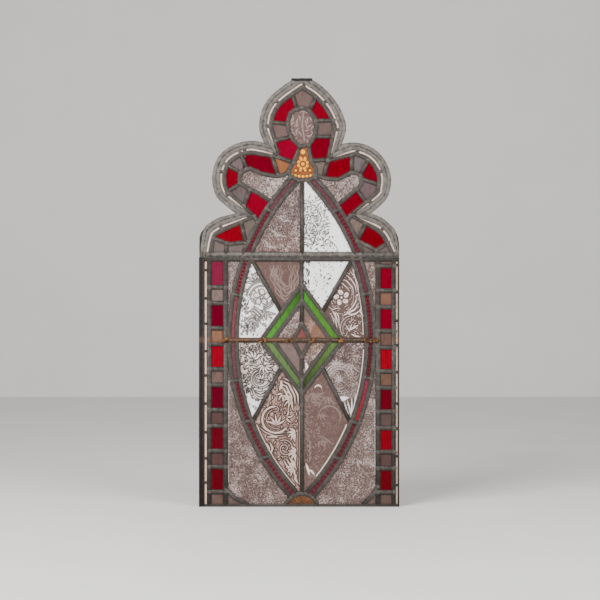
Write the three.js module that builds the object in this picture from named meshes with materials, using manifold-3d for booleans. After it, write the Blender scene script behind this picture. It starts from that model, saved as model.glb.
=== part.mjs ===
// A leaded stained-glass window light: a rectangular lower panel and a lobed head panel that stands on it,
// with a round iron saddle bar tied across the front.
// Millimetres. x runs to the right, z up, y away from the viewer. The panels lie in the plane y = 0.
import * as THREE from 'three';
import { mergeVertices } from 'three/addons/utils/BufferGeometryUtils.js';
import Module from 'manifold-3d';

const wasm = await Module();
wasm.setup();

// ---- Driving dimensions ----
const CAME_DEPTH = 6.6;        // front to back of a lead came, made here as a solid bar without its channels
const LEAF = 1.5;              // thickness of the front and back leaves of a lead that crosses a run of glass
const GLASS = 3;               // thickness of the glass
const CLEARANCE = 0.3;         // between glass and lead, all round

const PANEL_LEFT = -288;       // outer edges of the lower panel
const PANEL_RIGHT = 273;
const PANEL_TOP = 699;
const HEAD_SHIFT = 3.5;        // the head panel stands slightly to the right
const HEAD_BASE = 699.4;       // height of the head panel's lower edge
const HEAD_TOP = 500.6;        // flat apex of the head panel, above its lower edge

const LEFT_EDGE_LEAD = 15;     // visible width of the edge leads
const RIGHT_EDGE_LEAD = 3;
const TOP_EDGE_LEAD = 12;
const BOTTOM_EDGE_LEAD = 7;
const FILLET_LEAD_X = 258.8;   // lead between the cream fillet and the border
const BORDER_LEAD_X = 213;     // lead between the border and the field
const SIDE_LEAD = 9.3;         // came widths
const FIELD_LEAD = 9;
const BORDER_LEAD = 10.5;
const CROSS_LEAD = 11;
const FILLET_JOINT = 7;

const CROSS_Z = 466.5;         // height of the cross lead, the widest part of the pointed oval
const STRIP_LEADS = 22;        // between the two leads of the oval's strip

// The pointed oval's sides are arcs, each with its centre on the far side of the upright.
const OVAL_LOWER = { radius: 632, half: 193, z: 465 };
const OVAL_UPPER = { radius: 703, half: 193, z: 465 };
const OVAL_HEAD = { radius: 682, half: 206, z: -246 };  // above the head panel's lower edge

const DIAMOND = { half: 115, up: 157, down: 152 };
const DIAMOND_INNER = { half: 81, up: 111, down: 111 };
const DIAMOND_CENTRE = { half: 25, up: 47, down: 47 };
const HALF_ROUND = { radius: 47, z: -10 };  // the lead round the half-round pane
const OVAL_FOOT = { outer: 26, inner: 37 };  // where the oval's leads meet the half-round

const BAR_RADIUS = 3.3;
const BAR_HALF = 219;
const BAR_Z = 467;
const TIE_PLACES = [-212, -105, -32, 35, 108, 181, 208];

// ---- Plan geometry: points are [x, z] ----

// The path moved sideways by a distance, mitred at its corners; positive is to the left of its run.
function offset(path, distance, closed = false) {
  const last = path.length - 1;
  return path.map((point, i) => {
    const before = closed ? path[(i + last) % path.length] : path[Math.max(i - 1, 0)];
    const after = closed ? path[(i + 1) % path.length] : path[Math.min(i + 1, last)];
    const here = new THREE.Vector2(...point);
    const arriving = here.clone().sub(new THREE.Vector2(...before)).normalize();
    const leaving = new THREE.Vector2(...after).sub(here).normalize();
    const along = arriving.clone().add(leaving).normalize();
    const unit = i === 0 && !closed ? leaving : arriving;
    const normal = new THREE.Vector2(-along.y, along.x);
    const mitre = distance / Math.max(normal.dot(new THREE.Vector2(-unit.y, unit.x)), 0.4);
    return [here.x + normal.x * mitre, here.y + normal.y * mitre];
  });
}

// The outline of a strip of even width along an open path.
function ribbon(path, width) {
  return [...offset(path, width / 2), ...offset(path, -width / 2).reverse()];
}

// Points along a circle's arc, angles in degrees.
function arc(x, z, radius, start, end, steps) {
  return Array.from({ length: steps + 1 }, (_, i) => {
    const angle = THREE.MathUtils.degToRad(start + (end - start) * i / steps);
    return [x + radius * Math.cos(angle), z + radius * Math.sin(angle)];
  });
}

// A side of the pointed oval between two heights; side is -1 for left, inset is towards the upright.
function ovalSide(oval, side, inset, from, to, steps) {
  return Array.from({ length: steps + 1 }, (_, i) => {
    const z = from + (to - from) * i / steps;
    const across = Math.sqrt((oval.radius - inset) ** 2 - (z - oval.z) ** 2) - (oval.radius - oval.half);
    return [side * across, z];
  });
}

function smooth(points, steps) {
  const curve = new THREE.SplineCurve(points.map(([x, z]) => new THREE.Vector2(x, z)));
  return curve.getPoints(steps).map((point) => [point.x, point.y]);
}

function rectangle(left, bottom, right, top) {
  return [[left, bottom], [right, bottom], [right, top], [left, top]];
}

function diamond({ half, up, down }) {
  return [[0, CROSS_Z + up], [-half, CROSS_Z], [0, CROSS_Z - down], [half, CROSS_Z]];
}

function mirror(path) {
  return path.map(([x, z]) => [-x, z]);
}

// ---- Solids ----

function solidOf(geometry) {
  geometry.deleteAttribute('normal');
  geometry.deleteAttribute('uv');
  const merged = mergeVertices(geometry, 1e-4);
  const vertProperties = new Float32Array(merged.attributes.position.array);
  const triVerts = new Uint32Array(merged.index.array);
  return new wasm.Manifold(new wasm.Mesh({ numProp: 3, vertProperties, triVerts }));
}

// A plate of the given outline between two depths.
function plate(outline, front, back) {
  const shape = new THREE.Shape(outline.map(([x, z]) => new THREE.Vector2(x, z)));
  const geometry = new THREE.ExtrudeGeometry(shape, { depth: back - front, bevelEnabled: false });
  geometry.rotateX(Math.PI / 2);
  geometry.translate(0, back, 0);
  return solidOf(geometry);
}

// One lead of a panel as a plate of its own width: open leads are strips, closed leads are rings.
function strip(lead, width, front, back) {
  if (!lead.closed) {
    return plate(ribbon(lead.path, width), front, back);
  }
  const outer = plate(offset(lead.path, -width / 2, true), front, back);
  const inner = plate(offset(lead.path, width / 2, true), front - 1, back + 1);
  return outer.subtract(inner);
}

// The whole came network of a panel. A lead that crosses a run of glass has only its two leaves.
function leading({ outline, sight, leads, cap }) {
  const face = CAME_DEPTH / 2;
  let network = plate(outline, -face, face).subtract(plate(sight, -face - 1, face + 1));
  for (const lead of leads) {
    const layers = lead.leafOnly ? [[-face, LEAF - face], [face - LEAF, face]] : [[-face, face]];
    for (const [front, back] of layers) {
      network = network.add(strip(lead, lead.width, front, back));
    }
  }
  network = network.intersect(plate(outline, -face - 1, face + 1));
  return cap ? network.add(plate(cap, -face, face)) : network;
}

// All the glass of a panel, cut along its leads.
function glazing({ sight, leads }) {
  let glass = plate(offset(sight, CLEARANCE, true), -GLASS / 2, GLASS / 2);
  for (const lead of leads.filter(({ leafOnly }) => !leafOnly)) {
    glass = glass.subtract(strip(lead, lead.width + 2 * CLEARANCE, -GLASS, GLASS));
  }
  return glass;
}

function geometryOf(positions, triangles) {
  const geometry = new THREE.BufferGeometry();
  geometry.setAttribute('position', new THREE.BufferAttribute(Float32Array.from(positions), 3));
  geometry.setIndex(Array.from(triangles));
  geometry.computeVertexNormals();
  return geometry;
}

function geometryOfSolid(solid) {
  const mesh = solid.getMesh();
  return geometryOf(mesh.vertProperties, mesh.triVerts);
}

// The separate closed bodies of a solid, each as a geometry.
function separate(solid) {
  const { vertProperties, triVerts } = solid.getMesh();
  const parent = Array.from({ length: vertProperties.length / 3 }, (_, i) => i);
  const root = (i) => {
    while (parent[i] !== i) {
      parent[i] = parent[parent[i]];
      i = parent[i];
    }
    return i;
  };
  for (let t = 0; t < triVerts.length; t += 3) {
    parent[root(triVerts[t + 1])] = root(triVerts[t]);
    parent[root(triVerts[t + 2])] = root(triVerts[t]);
  }
  const pieces = new Map();
  for (let t = 0; t < triVerts.length; t += 3) {
    const key = root(triVerts[t]);
    if (!pieces.has(key)) {
      pieces.set(key, { places: new Map(), positions: [], triangles: [] });
    }
    const piece = pieces.get(key);
    for (const vertex of triVerts.slice(t, t + 3)) {
      if (!piece.places.has(vertex)) {
        piece.places.set(vertex, piece.places.size);
        piece.positions.push(...vertProperties.slice(3 * vertex, 3 * vertex + 3));
      }
      piece.triangles.push(piece.places.get(vertex));
    }
  }
  return Array.from(pieces.values(), ({ positions, triangles }) => geometryOf(positions, triangles));
}

// Whether a flat pane's front face covers the point [x, z].
function covers(geometry, [x, z]) {
  const { index, attributes: { position } } = geometry;
  const corner = (i) => new THREE.Vector3().fromBufferAttribute(position, index.getX(i));
  const probe = new THREE.Vector3(x, -GLASS / 2, z);
  for (let t = 0; t < index.count; t += 3) {
    const face = new THREE.Triangle(corner(t), corner(t + 1), corner(t + 2));
    const inFront = face.a.y < 0 && face.b.y < 0 && face.c.y < 0;
    if (inFront && face.getArea() > 0 && face.containsPoint(probe)) {
      return true;
    }
  }
  return false;
}

// ---- Materials ----
const paint = (color, roughness, metalness) => new THREE.MeshStandardMaterial({ color, roughness, metalness });
const LEAD = () => paint(0x6e6b65, 0.6, 0.6);
const RUST = () => paint(0x6d5a4a, 0.8, 0.4);
const CREAM = () => paint(0xead6ca, 0.3, 0);
const RED = () => paint(0x8e0012, 0.2, 0);
const PINK = () => paint(0x7d3540, 0.25, 0);
const BROWN = () => paint(0x86736b, 0.3, 0);
const AMBER = () => paint(0xe2a042, 0.3, 0);
const GREEN = () => paint(0x6fa04a, 0.25, 0);
const WHITE = () => paint(0xe4e0dc, 0.35, 0);

// ---- Lower panel ----

// The same lead on both sides of the upright.
function pair(path, width, options = {}) {
  return [{ path, width, ...options }, { path: mirror(path), width, ...options }];
}

// Short leads across one side's strip of glass, at the given heights.
function rungs(heights, from, to, width) {
  return heights.map((z) => ({ path: [[from, z], [to, z]], width, leafOnly: true }));
}

// Heights of the leads between the red border panes and the small squares, one pitch for each pair.
function borderJoints(firstBelow, firstAbove, pitch, count) {
  const heights = [];
  for (let k = 0; k < count; k += 1) {
    heights.push(firstBelow + pitch * k, firstAbove + pitch * k);
  }
  return heights;
}

const LEFT_BORDER = [...borderJoints(41.6, 112, 114.6, 5), 41.6 + 5 * 114.6];
const RIGHT_BORDER = [...borderJoints(40.6, 107.6, 112.9, 5), 40.6 + 5 * 112.9, 674];
const LEFT_FILLET = [68, 136, 209, 289, 368, 436, 513, 584, 663];
const RIGHT_FILLET = [61, 142, 219, 289, 377, 453, 521, 601, 677];
const LEFT_STRIP = [138, 239, 353, 466, 593];
const RIGHT_STRIP = [135, 236, 360, 466, 596];

// A side of the lower panel's oval strip, from the foot to the panel's top.
function lowerOval(side, inset) {
  return [
    ...ovalSide(OVAL_LOWER, side, inset, inset < 0 ? OVAL_FOOT.outer : OVAL_FOOT.inner, OVAL_LOWER.z, 8),
    ...ovalSide(OVAL_UPPER, side, inset, OVAL_LOWER.z, PANEL_TOP, 4).slice(1),
  ];
}

// The short leads that cross the oval's strip, square to it.
function stripRungs(side, heights) {
  return heights.map((z) => {
    const oval = z < OVAL_LOWER.z ? OVAL_LOWER : OVAL_UPPER;
    const [[outerX]] = ovalSide(oval, side, -STRIP_LEADS / 2, z, z, 1);
    const [[innerX]] = ovalSide(oval, side, STRIP_LEADS / 2, z, z, 1);
    const lean = 0.5 * STRIP_LEADS * Math.sign(z - oval.z) * Math.min(Math.abs(z - oval.z) / oval.radius, 0.6);
    return { path: [[outerX, z + lean], [innerX, z - lean]], width: FIELD_LEAD, leafOnly: true };
  });
}

function lowerPanel() {
  const outline = rectangle(PANEL_LEFT, 0, PANEL_RIGHT, PANEL_TOP);
  const half = STRIP_LEADS / 2;
  const leads = [
    ...pair([[-FILLET_LEAD_X, -5], [-FILLET_LEAD_X, PANEL_TOP]], SIDE_LEAD),
    ...pair([[-BORDER_LEAD_X, -5], [-BORDER_LEAD_X, PANEL_TOP]], BORDER_LEAD),
    ...rungs(LEFT_BORDER, -FILLET_LEAD_X, -BORDER_LEAD_X, CROSS_LEAD),
    ...rungs(RIGHT_BORDER, BORDER_LEAD_X, FILLET_LEAD_X, CROSS_LEAD),
    ...rungs(LEFT_FILLET, PANEL_LEFT + LEFT_EDGE_LEAD - 4, -FILLET_LEAD_X, FILLET_JOINT),
    ...rungs(RIGHT_FILLET, FILLET_LEAD_X, PANEL_RIGHT - 1, FILLET_JOINT),
    ...pair(lowerOval(-1, -half), FIELD_LEAD),
    ...pair(lowerOval(-1, half), FIELD_LEAD),
    ...stripRungs(-1, LEFT_STRIP),
    ...stripRungs(1, RIGHT_STRIP),
    { path: diamond(DIAMOND), width: FIELD_LEAD, closed: true },
    { path: diamond(DIAMOND_INNER), width: FIELD_LEAD, closed: true },
    { path: diamond(DIAMOND_CENTRE), width: FIELD_LEAD, closed: true },
    { path: [[0, HALF_ROUND.z + HALF_ROUND.radius], [0, CROSS_Z - DIAMOND_CENTRE.down]], width: FIELD_LEAD },
    { path: [[0, CROSS_Z + DIAMOND_CENTRE.up], [0, PANEL_TOP]], width: FIELD_LEAD },
    { path: [[-OVAL_LOWER.half + half, CROSS_Z], [OVAL_LOWER.half - half, CROSS_Z]], width: FIELD_LEAD },
    { path: [[-141, 694], [-57.5, CROSS_Z + DIAMOND.up / 2]], width: FIELD_LEAD },
    { path: [[142, 694], [57.5, CROSS_Z + DIAMOND.up / 2]], width: FIELD_LEAD },
    { path: [[-137, 240], [-57.5, CROSS_Z - DIAMOND.down / 2]], width: FIELD_LEAD },
    { path: [[135, 238], [57.5, CROSS_Z - DIAMOND.down / 2]], width: FIELD_LEAD },
    { path: arc(0, HALF_ROUND.z, HALF_ROUND.radius, 5, 175, 10), width: FIELD_LEAD },
    { path: [[-BORDER_LEAD_X, 49], [-188, 25], [-148, 3]], width: CROSS_LEAD },
    { path: [[BORDER_LEAD_X, 56], [196, 30], [168, 3]], width: FIELD_LEAD },
  ];
  const sight = rectangle(
    PANEL_LEFT + LEFT_EDGE_LEAD, BOTTOM_EDGE_LEAD, PANEL_RIGHT - RIGHT_EDGE_LEAD, PANEL_TOP - TOP_EDGE_LEAD,
  );
  return { outline, sight, leads };
}

// Each pane: its name, a point on it and its material.
const LOWER_PANES = [
  ['fillets_left', [-268, 300], CREAM],
  ['fillets_right', [266, 300], CREAM],
  ['border_left', [-236, 300], RED],
  ['border_right', [236, 300], RED],
  ['oval_strip_left', [-193, 470], PINK],
  ['oval_strip_right', [193, 470], PINK],
  ['quarry_top_left', [-50, 650], BROWN],
  ['quarry_top_right', [50, 650], WHITE],
  ['quarry_flower_left', [-130, 560], WHITE],
  ['quarry_flower_right', [130, 560], BROWN],
  ['quarry_side_left', [-130, 380], WHITE],
  ['quarry_side_right', [130, 380], BROWN],
  ['quarry_scroll_left', [-50, 250], CREAM],
  ['quarry_scroll_right', [50, 250], BROWN],
  ['spandrel_top_left', [-197, 670], BROWN],
  ['spandrel_top_right', [197, 670], BROWN],
  ['spandrel_bottom_left', [-150, 100], BROWN],
  ['spandrel_bottom_right', [150, 100], BROWN],
  ['corner_bit_left', [-202, 15], BROWN],
  ['corner_bit_right', [203, 15], BROWN],
  ['half_round', [0, 20], AMBER],
  ['green_upper_left', [-48, 544], GREEN],
  ['green_upper_right', [48, 544], GREEN],
  ['green_lower_left', [-48, 390], GREEN],
  ['green_lower_right', [48, 390], GREEN],
  ['diamond_upper_left', [-27, 507], BROWN],
  ['diamond_upper_right', [27, 507], BROWN],
  ['diamond_lower_left', [-27, 426], BROWN],
  ['diamond_lower_right', [27, 426], BROWN],
  ['centre_upper', [0, 485], RED],
  ['centre_lower', [0, 447], PINK],
];

// ---- Head panel, drawn about its own axis and above its own lower edge ----

// The five curves of the lobed edge, from the lower left corner over the top; they meet in the notches.
const EDGE_CURVES = [
  [[-290, 0], [-290, 56], [-279, 77], [-256, 99], [-228, 113], [-189, 122]],
  [[-189, 122], [-220, 147], [-242, 168], [-254, 205], [-252, 244], [-237, 281], [-209, 307], [-169, 323],
    [-133, 325], [-109, 320]],
  [[-109, 320], [-120, 345], [-123, 373], [-117, 407], [-99, 441], [-71, 468], [-33, 495], [-3, 512],
    [26, 496], [53, 478], [81, 450], [103, 418], [118, 382], [121, 354], [109, 317]],
  [[109, 317], [137, 321], [168, 317], [199, 303], [224, 279], [241, 248], [247, 216], [243, 185],
    [230, 157], [191, 122]],
  [[191, 122], [219, 111], [244, 91], [262, 67], [269, 39], [269, 0]],
];
const SHOULDER_INSET = 1.05;   // the shoulders' leads lie a little further from their edge
const EDGE_LEAD = 21;          // visible width of the lobed edge lead
const INNER_LEAD = 33;         // from the edge to the centre of the lead inside the fillets
const HEAD_FOOT_LEAD = 14;     // visible width of the lead along the head panel's lower edge

// Where two curves meet: on the edge, at the end of the edge lead, and on the inner lead.
const NOTCHES = [
  [[-189, 122], [-145, 118], [-137, 114]],
  [[-109, 320], [-72, 288], [-67, 279]],
  [[109, 317], [78, 277], [69, 269]],
  [[191, 122], [141, 117], [133, 117]],
];

// The same three places at the two feet of the lobed edge.
const FEET = [
  [[-290, 0], [-275, 0], [-261, 0]],
  [[269, 0], [266, 0], [256, 0]],
];

function notchPoint([edge, tip, inner], inset) {
  const [from, to, share] = inset < EDGE_LEAD
    ? [edge, tip, inset / EDGE_LEAD]
    : [tip, inner, (inset - EDGE_LEAD) / (INNER_LEAD - EDGE_LEAD)];
  return [from[0] + (to[0] - from[0]) * share, from[1] + (to[1] - from[1]) * share];
}

// One curve moved inwards. Near a foot it runs straight to the foot, whatever the edge does.
function inner(curve, inset, first, final) {
  const moved = offset(curve, -inset * (first || final ? SHOULDER_INSET : 1));
  if (inset > 0 && first) {
    moved.splice(1, 1);
  }
  if (inset > 0 && final) {
    moved.splice(-2, 1);
  }
  return moved;
}

// The lobed line at a distance inside the edge, from its left foot to its right foot.
function lobed(inset, floor = 0) {
  return EDGE_CURVES.flatMap((curve, k) => {
    const first = k === 0;
    const final = k === EDGE_CURVES.length - 1;
    const moved = inner(curve, inset, first, final);
    const last = moved.length - 1;
    moved[0] = first ? [notchPoint(FEET[0], inset)[0], floor] : notchPoint(NOTCHES[k - 1], inset);
    moved[last] = final ? [notchPoint(FEET[1], inset)[0], floor] : notchPoint(NOTCHES[k], inset);
    const line = smooth(moved, last * 2).map(([x, z]) => [x, Math.min(z, HEAD_TOP)]);
    return first ? line : line.slice(1);
  });
}

const OVAL_PANE = [[-1, 418], [-19, 415], [-36, 402], [-43, 379], [-40, 354], [-29, 330], [-9, 310], [16, 313],
  [32, 337], [38, 365], [33, 389], [18, 410]];
const BELL = [[-9, 310], [-16, 289], [-26, 267], [-40, 244], [-37, 229], [-20, 218], [-1, 215], [22, 218],
  [36, 230], [35, 247], [23, 269], [18, 292], [16, 313]];
const LEFT_DROP = [[-40, 239], [-54, 230], [-76, 226], [-113, 233], [-149, 248], [-169, 241], [-178, 226],
  [-178, 208], [-152, 191], [-127, 180], [-88, 154]];
const RIGHT_DROP = [[36, 229], [70, 219], [98, 217], [134, 236], [151, 236], [164, 223], [162, 202], [143, 184],
  [98, 147]];
const HEAD_UPRIGHT = -2.5;

// Leads between panes of one ring of glass.
const RING_LEADS = [
  [[-30, 457], [-17, 413]],
  [[36, 448], [18, 410]],
  [[87, 383], [36, 382]],
  [[84, 337], [30, 337]],
  [[-90, 378], [-43, 373]],
  [[-76, 326], [-34, 337]],
  [[-175, 292], [-158, 247]],
  [[-217, 260], [-175, 236]],
  [[-214, 180], [-178, 206]],
  [[-166, 143], [-149, 188]],
  [[137, 286], [136, 237]],
  [[182, 272], [160, 230]],
  [[213, 202], [162, 220]],
  [[176, 154], [151, 189]],
];

// Leads between panes that are pieces of their own.
const DIVIDING_LEADS = [
  [[-65, 278], [-26, 264]],
  [[-87, 284], [-71, 232]],
  [[23, 269], [69, 273]],
  [[69, 270], [57, 222]],
  [[-137, 114], [-126, 98]],
  [[133, 117], [124, 103]],
  [[-252, 54], [-228, 43], [-206, 36], [-152, 43]],
  [[-214, 39], [-216, 5]],
  [[-173, 97], [-161, 39]],
  [[176, 94], [151, 45]],
  [[152, 46], [205, 18], [238, 41]],
  [[205, 18], [205, 5]],
];

function headPanel() {
  const half = STRIP_LEADS / 2;
  const ovalLine = (side, inset, top) => ovalSide(OVAL_HEAD, side, inset, 0, top, 4);
  const rung = (side) => {
    const [[outer], [inner]] = [ovalLine(side, -half, 136), ovalLine(side, half, 124)].map((line) => line.slice(-1));
    return { path: [outer, inner], width: FIELD_LEAD, leafOnly: true };
  };
  const leads = [
    { path: lobed(INNER_LEAD), width: FIELD_LEAD },
    ...NOTCHES.map((notch) => ({ path: [notchPoint(notch, 8), notch[2]], width: FIELD_LEAD })),
    ...[-1, 1].flatMap((side) => [
      { path: ovalLine(side, -half, 222), width: FIELD_LEAD },
      { path: ovalLine(side, half, 214), width: FIELD_LEAD },
      rung(side),
    ]),
    { path: [[HEAD_UPRIGHT, 0], [HEAD_UPRIGHT, 215]], width: FIELD_LEAD },
    { path: OVAL_PANE, width: FIELD_LEAD, closed: true },
    ...[BELL, LEFT_DROP, RIGHT_DROP, ...DIVIDING_LEADS].map((path) => ({ path, width: FIELD_LEAD })),
    ...RING_LEADS.map((path) => ({ path, width: FIELD_LEAD, leafOnly: true })),
  ];
  return {
    outline: lobed(0).reverse(),
    sight: lobed(EDGE_LEAD, HEAD_FOOT_LEAD).reverse(),
    leads,
    cap: rectangle(-33, HEAD_TOP - 10, 26, HEAD_TOP),
  };
}

const HEAD_PANES = [
  ['fillets_left_shoulder', [-254, 69], CREAM],
  ['fillets_left_lobe', [-229, 216], CREAM],
  ['fillets_top_lobe', [-97, 385], CREAM],
  ['fillets_right_lobe', [221, 216], CREAM],
  ['fillets_right_shoulder', [242, 56], CREAM],
  ['head_strip_left', [-96, 132], PINK],
  ['head_strip_right', [96, 130], PINK],
  ['head_triangle_left', [-50, 70], BROWN],
  ['head_triangle_right', [50, 70], WHITE],
  ['top_lobe_ring', [-60, 415], RED],
  ['top_lobe_oval', [0, 365], BROWN],
  ['amber_bell', [0, 255], AMBER],
  ['small_amber_left', [-55, 255], AMBER],
  ['small_brown_right', [50, 255], BROWN],
  ['left_lobe_ring', [-120, 265], RED],
  ['left_lobe_drop', [-120, 205], BROWN],
  ['right_lobe_ring', [100, 255], RED],
  ['right_lobe_drop', [120, 205], BROWN],
  ['left_shoulder_red', [-205, 62], RED],
  ['left_shoulder_outer', [-235, 27], BROWN],
  ['left_shoulder_inner', [-190, 22], BROWN],
  ['left_shoulder_corner', [-155, 72], BROWN],
  ['right_shoulder_red', [195, 55], RED],
  ['right_shoulder_corner', [150, 82], BROWN],
  ['right_shoulder_outer', [235, 22], BROWN],
  ['right_shoulder_sliver', [175, 20], BROWN],
];

// ---- Saddle bar: a round iron bar in front of the cross lead, held by seven loops of wire ----
function saddleBar() {
  const centre = -(CAME_DEPTH / 2 + CLEARANCE + BAR_RADIUS);
  const geometry = new THREE.CylinderGeometry(BAR_RADIUS, BAR_RADIUS, 2 * BAR_HALF, 12);
  geometry.rotateZ(Math.PI / 2);
  let bar = solidOf(geometry);
  for (const x of TIE_PLACES) {
    bar = bar.add(tieLoop(x));
  }
  const mesh = new THREE.Mesh(geometryOfSolid(bar), RUST());
  mesh.name = 'saddle_bar';
  mesh.position.set(0, centre, BAR_Z);
  return mesh;
}

// A wire loop over the front of the bar, its two legs reaching back to the lead.
function tieLoop(x) {
  const radius = BAR_RADIUS + 1.4;
  const section = [...arc(0, 0, radius, 90, 270, 6), [BAR_RADIUS, -radius], [BAR_RADIUS, radius]];
  const outline = section.map(([y, z]) => new THREE.Vector2(y, z));
  const geometry = new THREE.ExtrudeGeometry(new THREE.Shape(outline), { depth: 5, bevelEnabled: false });
  geometry.rotateY(Math.PI / 2);
  geometry.rotateX(Math.PI / 2);
  geometry.translate(x - 2.5, 0, 0);
  return solidOf(geometry);
}

// ---- Assembly ----
function panelGroup(panel, leadName, panes) {
  const group = new THREE.Group();
  const network = new THREE.Mesh(geometryOfSolid(leading(panel)), LEAD());
  network.name = leadName;
  group.add(network);
  const glass = separate(glazing(panel));
  for (const [name, point, material] of panes) {
    const pane = new THREE.Mesh(glass.find((geometry) => covers(geometry, point)), material());
    pane.name = name;
    group.add(pane);
  }
  return group;
}

const lower = panelGroup(lowerPanel(), 'lower_leading', LOWER_PANES);
const head = panelGroup(headPanel(), 'head_leading', HEAD_PANES);
head.position.set(HEAD_SHIFT, 0, HEAD_BASE);

const stainedGlassWindow = new THREE.Group();
stainedGlassWindow.add(lower, head, saddleBar());

export default stainedGlassWindow;
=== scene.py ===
"""A leaded stained-glass window light, dressed for the studio: weathered lead cames with soldered joints,
pressed and traced glass, and a rusty saddle bar tied on with copper wire.

The plan of the leads is in millimetres: x to the right, z up. Everything that is made is in metres.
"""
import math
import random

import bmesh
import bpy
import numpy as np
from mathutils import Matrix, Vector
from mathutils.bvhtree import BVHTree


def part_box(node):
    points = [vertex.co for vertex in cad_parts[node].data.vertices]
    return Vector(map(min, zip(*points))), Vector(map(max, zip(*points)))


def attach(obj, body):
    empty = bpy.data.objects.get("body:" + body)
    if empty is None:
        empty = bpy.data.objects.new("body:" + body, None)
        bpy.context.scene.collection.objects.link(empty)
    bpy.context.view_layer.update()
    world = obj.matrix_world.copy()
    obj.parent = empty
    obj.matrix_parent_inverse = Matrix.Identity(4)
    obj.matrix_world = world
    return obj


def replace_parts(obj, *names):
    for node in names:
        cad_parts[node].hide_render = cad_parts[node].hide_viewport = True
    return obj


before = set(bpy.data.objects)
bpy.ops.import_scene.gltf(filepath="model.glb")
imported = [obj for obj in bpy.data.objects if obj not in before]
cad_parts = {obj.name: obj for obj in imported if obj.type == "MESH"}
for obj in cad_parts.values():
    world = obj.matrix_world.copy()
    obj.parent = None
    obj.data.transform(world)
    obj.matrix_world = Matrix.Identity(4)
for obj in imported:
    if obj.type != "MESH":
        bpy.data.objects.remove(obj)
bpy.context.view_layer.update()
MM = 0.001

# ---- Plan of the lower panel ----
PANEL_LEFT, PANEL_RIGHT, PANEL_TOP = -288.0, 273.0, 699.0
LEFT_EDGE, RIGHT_EDGE = 15.0, 3.0
FILLET_LEAD_X, BORDER_LEAD_X = 258.8, 213.0
FIELD_LEAD, CROSS_LEAD, FILLET_JOINT = 9.0, 11.0, 7.0
CROSS_Z = 466.5
STRIP_LEADS = 22.0
OVAL_LOWER = {"radius": 632.0, "half": 193.0, "z": 465.0}
OVAL_UPPER = {"radius": 703.0, "half": 193.0, "z": 465.0}
OVAL_HEAD = {"radius": 682.0, "half": 206.0, "z": -246.0}
OVAL_FOOT = {"outer": 26.0, "inner": 37.0}
DIAMONDS = [(115.0, 157.0, 152.0), (81.0, 111.0, 111.0), (25.0, 47.0, 47.0)]
HALF_ROUND_RADIUS, HALF_ROUND_Z = 47.0, -10.0

LEFT_BORDER = [z + 114.6 * k for k in range(5) for z in (41.6, 112.0)] + [614.6]
RIGHT_BORDER = [z + 112.9 * k for k in range(5) for z in (40.6, 107.6)] + [605.1, 674.0]
LEFT_FILLET = [68.0, 136.0, 209.0, 289.0, 368.0, 436.0, 513.0, 584.0, 663.0]
RIGHT_FILLET = [61.0, 142.0, 219.0, 289.0, 377.0, 453.0, 521.0, 601.0, 677.0]
LEFT_STRIP = [138.0, 239.0, 353.0, 466.0, 593.0]
RIGHT_STRIP = [135.0, 236.0, 360.0, 466.0, 596.0]

# ---- Plan of the head panel, about its own axis and above its own foot ----
HEAD_SHIFT, HEAD_BASE, HEAD_TOP = 3.5, 699.4, 500.6
EDGE_CURVES = [
    [(-290, 0), (-290, 56), (-279, 77), (-256, 99), (-228, 113), (-189, 122)],
    [(-189, 122), (-220, 147), (-242, 168), (-254, 205), (-252, 244), (-237, 281), (-209, 307),
     (-169, 323), (-133, 325), (-109, 320)],
    [(-109, 320), (-120, 345), (-123, 373), (-117, 407), (-99, 441), (-71, 468), (-33, 495), (-3, 512),
     (26, 496), (53, 478), (81, 450), (103, 418), (118, 382), (121, 354), (109, 317)],
    [(109, 317), (137, 321), (168, 317), (199, 303), (224, 279), (241, 248), (247, 216), (243, 185),
     (230, 157), (191, 122)],
    [(191, 122), (219, 111), (244, 91), (262, 67), (269, 39), (269, 0)],
]
SHOULDER_INSET, EDGE_LEAD, INNER_LEAD = 1.05, 21.0, 33.0
NOTCHES = [
    [(-189, 122), (-145, 118), (-137, 114)],
    [(-109, 320), (-72, 288), (-67, 279)],
    [(109, 317), (78, 277), (69, 269)],
    [(191, 122), (141, 117), (133, 117)],
]
FEET = [[(-290, 0), (-275, 0), (-261, 0)], [(269, 0), (266, 0), (256, 0)]]
OVAL_PANE = [(-1, 418), (-19, 415), (-36, 402), (-43, 379), (-40, 354), (-29, 330), (-9, 310), (16, 313),
             (32, 337), (38, 365), (33, 389), (18, 410)]
BELL = [(-9, 310), (-16, 289), (-26, 267), (-40, 244), (-37, 229), (-20, 218), (-1, 215), (22, 218),
        (36, 230), (35, 247), (23, 269), (18, 292), (16, 313)]
LEFT_DROP = [(-40, 239), (-54, 230), (-76, 226), (-113, 233), (-149, 248), (-169, 241), (-178, 226),
             (-178, 208), (-152, 191), (-127, 180), (-88, 154)]
RIGHT_DROP = [(36, 229), (70, 219), (98, 217), (134, 236), (151, 236), (164, 223), (162, 202),
              (143, 184), (98, 147)]
HEAD_UPRIGHT = -2.5
RING_LEADS = [
    [(-30, 457), (-17, 413)], [(36, 448), (18, 410)], [(87, 383), (36, 382)], [(84, 337), (30, 337)],
    [(-90, 378), (-43, 373)], [(-76, 326), (-34, 337)], [(-175, 292), (-158, 247)],
    [(-217, 260), (-175, 236)], [(-214, 180), (-178, 206)], [(-166, 143), (-149, 188)],
    [(137, 286), (136, 237)], [(182, 272), (160, 230)], [(213, 202), (162, 220)], [(176, 154), (151, 189)],
]
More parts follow.
